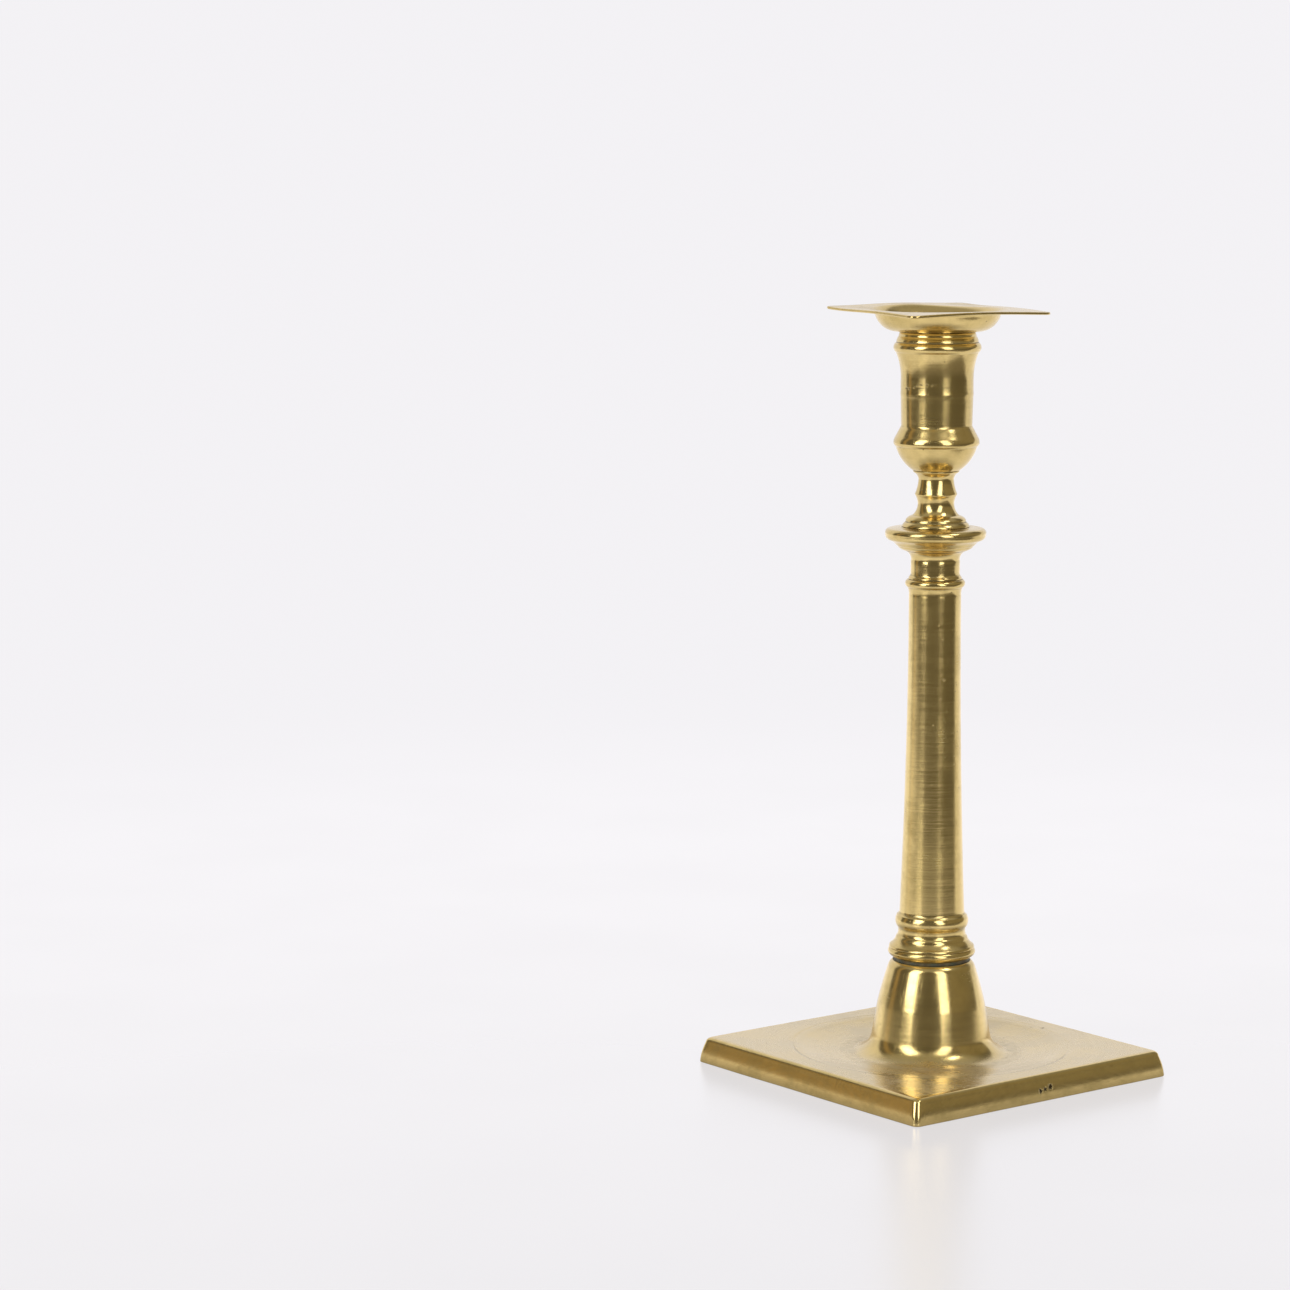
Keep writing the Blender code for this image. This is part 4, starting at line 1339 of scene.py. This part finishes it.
# ---------------------------------------------------------------- the studio
@dataclass(frozen=True)
class SoftBox:
    """One soft lamp: where it hangs, how large it is and how bright."""

    name: str
    turn: float                     # degrees to the camera's right
    rise: float                     # degrees above the horizon
    away: float                     # metres from the object
    size: Point
    brightness: float
    lean: float = 0.0               # degrees that it is rolled


@dataclass
class Studio:
    """Plain pale surroundings: a white table, a white backdrop and two soft boxes in a dim room."""

    azimuth: float = 48.1           # degrees round the object, from the -Y side
    distance: float = 1.40
    eye_height: float = 0.345
    yaw: float = 4.34               # degrees that the camera looks to the left of the axis
    pitch: float = 7.6
    lens: float = 107.4
    floor_size: float = 30.0
    fade_from: Point = (0.25, 1.0)  # distances over which the floor melts into the backdrop
    glow: float = 0.715             # share of the backdrop's brightness that the floor has of itself
    table_glow: float = 0.92
    shade: float = 0.42             # share of its brightness that the table keeps close to the foot, a painted shadow that the brass mirrors
    shade_from: Point = (0.07, 0.20)
    paint: float = 0.10             # brightness of the paint, which takes shadows
    paint_tint: Colour = (1.0, 0.985, 0.99)
    table_roughness: Point = (0.24, 0.27)
    table_gloss: float = 0.35
    table_edge: tuple[Point, ...] = (           # across and toward the camera
        (-0.45, 0.43), (0.198, 0.43), (0.36, 0.05), (1.3, -0.3), (1.3, -2.17), (-1.3, -2.17), (-1.3, 0.1))
    aim: float = 0.19               # height that the lights' angles are measured from
    lamps: tuple[SoftBox, ...] = (
        SoftBox("soft_box_left", -45.0, 23.5, 1.6, (0.66, 1.25), 4.0, -14.0),
        SoftBox("soft_box_right", 27.0, 23.5, 1.6, (0.58, 1.25), 2.8, 12.0),
        SoftBox("small_lamp", 66.0, 58.0, 1.7, (0.36, 0.44), 6.0),
    )
    backdrop: Colour = (0.90, 0.885, 0.91)
    backdrop_from: Point = (-0.34, -0.46)   # how far behind the object the backdrop starts
    room: Colour = (0.136, 0.124, 0.098)
    dusk: Colour = (0.125, 0.112, 0.084)    # the darker right side of the room
    dusk_from: Point = (0.55, 0.80)
    wall: Colour = (0.28, 0.245, 0.165)     # the lit upper part of the room on the right
    wall_from: Point = (0.02, 0.20)
    doorway: Colour = (0.40, 0.30, 0.165)   # a warm gap far to the left
    doorway_turn: float = -95.0             # degrees, where that gap is
    doorway_width: Point = (0.11, 0.07)     # where its soft edges end and start
    ceiling: Colour = (0.40, 0.385, 0.345)
    ceiling_from: Point = (0.60, 0.82)
    below: Colour = (0.22, 0.20, 0.17)      # the floor of the room, under the table's height
    below_from: Point = (-0.12, -0.30)

    def toward(self, turn: float, rise: float = 0.0) -> Vector:
        """A direction from the object, turned from the camera's side toward its right.

        Args:
            turn: Degrees to the camera's right.
            rise: Degrees above the horizon.

        Returns:
            A unit vector.
        """
        angle = math.radians(self.azimuth - 90.0 + turn)
        up = math.radians(rise)
        return Vector((math.cos(angle) * math.cos(up), math.sin(angle) * math.cos(up), math.sin(up)))

    def build(self) -> None:
        """Set the camera, the table, the lights and the surroundings."""
        self.set_camera()
        self.lay_table()
        self.hang_lights()
        self.paint_surroundings()
        bpy.context.scene.view_settings.view_transform = "Standard"

    def set_camera(self) -> None:
        """Stand the camera where the object is seen from."""
        camera = bpy.data.objects.new("camera", bpy.data.cameras.new("camera"))
        camera.data.lens = self.lens
        camera.data.sensor_width = 36.0
        camera.data.clip_start = 0.01
        camera.location = self.toward(0.0) * self.distance + Vector((0.0, 0.0, self.eye_height))
        heading = math.radians(self.azimuth + self.yaw)
        camera.rotation_euler = (math.radians(90.0 - self.pitch), 0.0, heading)
        bpy.context.scene.collection.objects.link(camera)
        bpy.context.scene.camera = camera

    def flat(self, name: str, corners: Sequence[Vector], material: bpy.types.Material) -> bpy.types.Object:
        """Make one flat sheet of the stage.

        Args:
            name: Its name.
            corners: Its corners in turn.
            material: Its finish.

        Returns:
            The sheet.
        """
        mesh = bpy.data.meshes.new(name)
        mesh.from_pydata([tuple(corner) for corner in corners], [], [tuple(range(len(corners)))])
        mesh.materials.append(material)
        sheet = bpy.data.objects.new(name, mesh)
        bpy.context.scene.collection.objects.link(sheet)
        return sheet

    def pale(self, name: str, glow: float, paint: float, fade: bool) -> bpy.types.Material:
        """A pale lit surface: partly a glow like the backdrop's, partly paint that takes shadows.

        Args:
            name: The material's name.
            glow: How much of the backdrop's own brightness it has.
            paint: The paint's brightness.
            fade: Whether it melts into the backdrop away from the object.

        Returns:
            The material.
        """
        w = Wiring(bpy.data.materials.new(name))
        where = w.add("TexCoord", out="Object")
        w.feed(w.shader.inputs["Base Color"], tuple(paint * part for part in self.paint_tint))
        rough = w.ramp(w.cloud(where, 9.0), 0.3, 0.7, *self.table_roughness)
        w.feed(w.shader.inputs["Roughness"], rough)
        w.shader.inputs["Specular IOR Level"].default_value = self.table_gloss
        w.shader.inputs["Emission Color"].default_value = (*self.backdrop, 1.0)
        w.shader.inputs["Emission Strength"].default_value = glow
        if not fade:
            # Painted shadow: the table's glow is dimmed close to the foot.
            away = w.add("VectorMath", {0: where}, out="Value", operation="LENGTH")
            shaded = w.ramp(away, *self.shade_from, glow * self.shade, glow)
            w.feed(w.shader.inputs["Emission Strength"], shaded)
        if fade:
            plain = w.add("Emission", {"Color": self.backdrop, "Strength": 1.0})
            away = w.add("VectorMath", {0: where}, out="Value", operation="LENGTH")
            share = w.ramp(away, *self.fade_from)
            both = w.add("MixShader", {0: share, 1: w.shader.outputs[0], 2: plain})
            w.feed(w.tree.nodes["Material Output"].inputs["Surface"], both)
        return w.owner

    def lay_table(self) -> None:
        """Lay the boundless pale floor that the eye sees and the table top that the brass mirrors."""
        wide = self.floor_size
        square = ((-wide, -wide), (wide, -wide), (wide, wide), (-wide, wide))
        corners = [Vector((east, north, -0.0001)) for east, north in square]
        floor = self.flat("floor", corners, self.pale("white_floor", self.glow, self.paint, True))
        floor.visible_glossy = floor.visible_diffuse = floor.visible_shadow = False
        front, side = self.toward(0.0), self.toward(90.0)
        down = Vector((0.0, 0.0, -0.0004))
        corners = [side * across + front * ahead + down for across, ahead in self.table_edge]
        top = self.flat("table_top", corners, self.pale("white_table", self.table_glow, self.paint, False))
        top.visible_camera = top.visible_shadow = False

    def hang_lights(self) -> None:
        """Hang the soft boxes and the small lamp on the right."""
        for box in self.lamps:
            lamp = bpy.data.lights.new(box.name, "AREA")
            lamp.shape = "RECTANGLE"
            lamp.size, lamp.size_y = box.size
            lamp.energy = box.brightness * math.pi * lamp.size * lamp.size_y
            thing = bpy.data.objects.new(box.name, lamp)
            out = self.toward(box.turn, box.rise)
            thing.location = out * box.away + Vector((0.0, 0.0, self.aim))
            roll = Quaternion((0.0, 0.0, 1.0), math.radians(box.lean))
            thing.rotation_euler = (out.to_track_quat("Z", "Y") @ roll).to_euler()
            thing.visible_camera = False
            bpy.context.scene.collection.objects.link(thing)

    def paint_surroundings(self) -> None:
        """Colour what lies round the table: white behind the object, a dim room before it."""
        world = bpy.data.worlds.new("studio")
        bpy.context.scene.world = world
        w = Wiring(world)
        way = w.add("TexCoord", out="Generated")

        def along(direction: Vector) -> Any:
            """How far the way looked points in a direction, from -1 to 1."""
            return w.add("VectorMath", {0: way, 1: tuple(direction)}, out="Value", operation="DOT_PRODUCT")

        front, side, up = along(self.toward(0.0)), along(self.toward(90.0)), along(Vector((0, 0, 1)))
        right = w.mix(w.ramp(up, *self.wall_from), self.dusk, self.wall)
        room = w.mix(w.ramp(side, *self.dusk_from), self.room, right)
        off_gap = w.math("ABSOLUTE", along(self.toward(self.doorway_turn + 90.0)))
        warm = w.math("MULTIPLY", w.ramp(off_gap, *self.doorway_width), w.math("LESS_THAN", side, 0.0))
        room = w.mix(warm, room, self.doorway)
        slant = w.math("MULTIPLY", w.math("MAXIMUM", side, 0.0), w.math("MULTIPLY", up, 1.5))
        seen = w.mix(w.ramp(w.math("ADD", front, slant), *self.backdrop_from), room, self.backdrop)
        seen = w.mix(w.ramp(up, *self.ceiling_from), seen, self.ceiling)
        seen = w.mix(w.ramp(up, *self.below_from), seen, self.below)
        seen = w.mix(w.add("LightPath", out="Is Camera Ray"), seen, self.backdrop)
        w.feed(world.node_tree.nodes["Background"].inputs["Color"], seen)


def round_marks(radius: float, marks: Sequence[tuple[float, float, float]],
                depth: float) -> tuple[Flaw, ...]:
    """Flaws on a round piece, from how far round, how high and how wide each one is.

    Args:
        radius: The piece's radius there.
        marks: Degrees round from the +X side, height above the table and width of each.
        depth: How deep they are.

    Returns:
        The flaws.
    """
    flaws = []
    for turn, height, width in marks:
        angle = math.radians(turn)
        flaws.append(Flaw((radius * math.cos(angle), radius * math.sin(angle), height), width, depth))
    return tuple(flaws)


def main() -> None:
    """Build every sub-assembly in order, then the studio round them."""
    logging.basicConfig(level=logging.INFO, format="%(name)s: %(message)s")
    lathe = Lathe()
    shaft_radius, waist_radius = 9.9, 13.2
    shaft_pits = ((-34.0, 167.0, 0.5), (-25.0, 162.0, 0.4), (-27.0, 154.5, 0.4), (-20.0, 147.0, 0.6),
                  (-28.0, 140.0, 0.5), (-21.0, 132.5, 0.4), (-25.0, 125.0, 0.4))
    socket_flaws = ((-99.0, 253.2, 0.7), (-92.0, 252.9, 0.6), (-80.0, 253.6, 0.4), (-74.0, 254.3, 0.5),
                    (-68.0, 254.6, 0.6), (-58.0, 254.7, 0.6), (-50.0, 254.4, 0.5), (-44.0, 254.6, 0.4))
    foot_flaws = (Flaw((61.0, -1.6, 3.8), 1.2, 0.4, 0.95), Flaw((61.0, 0.8, 4.2), 1.0, 0.4, 0.95),
                  Flaw((61.0, 3.3, 4.8), 1.4, 0.4, 0.95), Flaw((32.3, -16.3, 7.0), 1.3, 0.2),
                  Flaw((6.7, 50.6, 8.5), 1.5, 0.15))
    turned = BrassFinish("brass_turned", flaws=round_marks(shaft_radius, shaft_pits, 0.10))
    socket = BrassFinish("brass_turned_socket", flaws=round_marks(waist_radius, socket_flaws, 0.15))
    cast = BrassFinish("brass_cast", cloudiness=0.09, grain=0.40, line_depth=0.004, flaws=foot_flaws)
    sheet = BrassFinish("brass_sheet", polish=0.16, grain=0.2, line_depth=0.004, pit_share=0.04)
    assemblies: list[Any] = [
        SquareFoot(cast),
        Column(turned, lathe),
        CandleSocket(socket, lathe),
        ClampingIronwork(IronFinish(), lathe),
        LiftOutNozzle(sheet, lathe),
        Studio(),
    ]
    for assembly in assemblies:
        assembly.build()
        log.info("%s is in place", type(assembly).__name__)


if __name__ == "__main__":
    main()
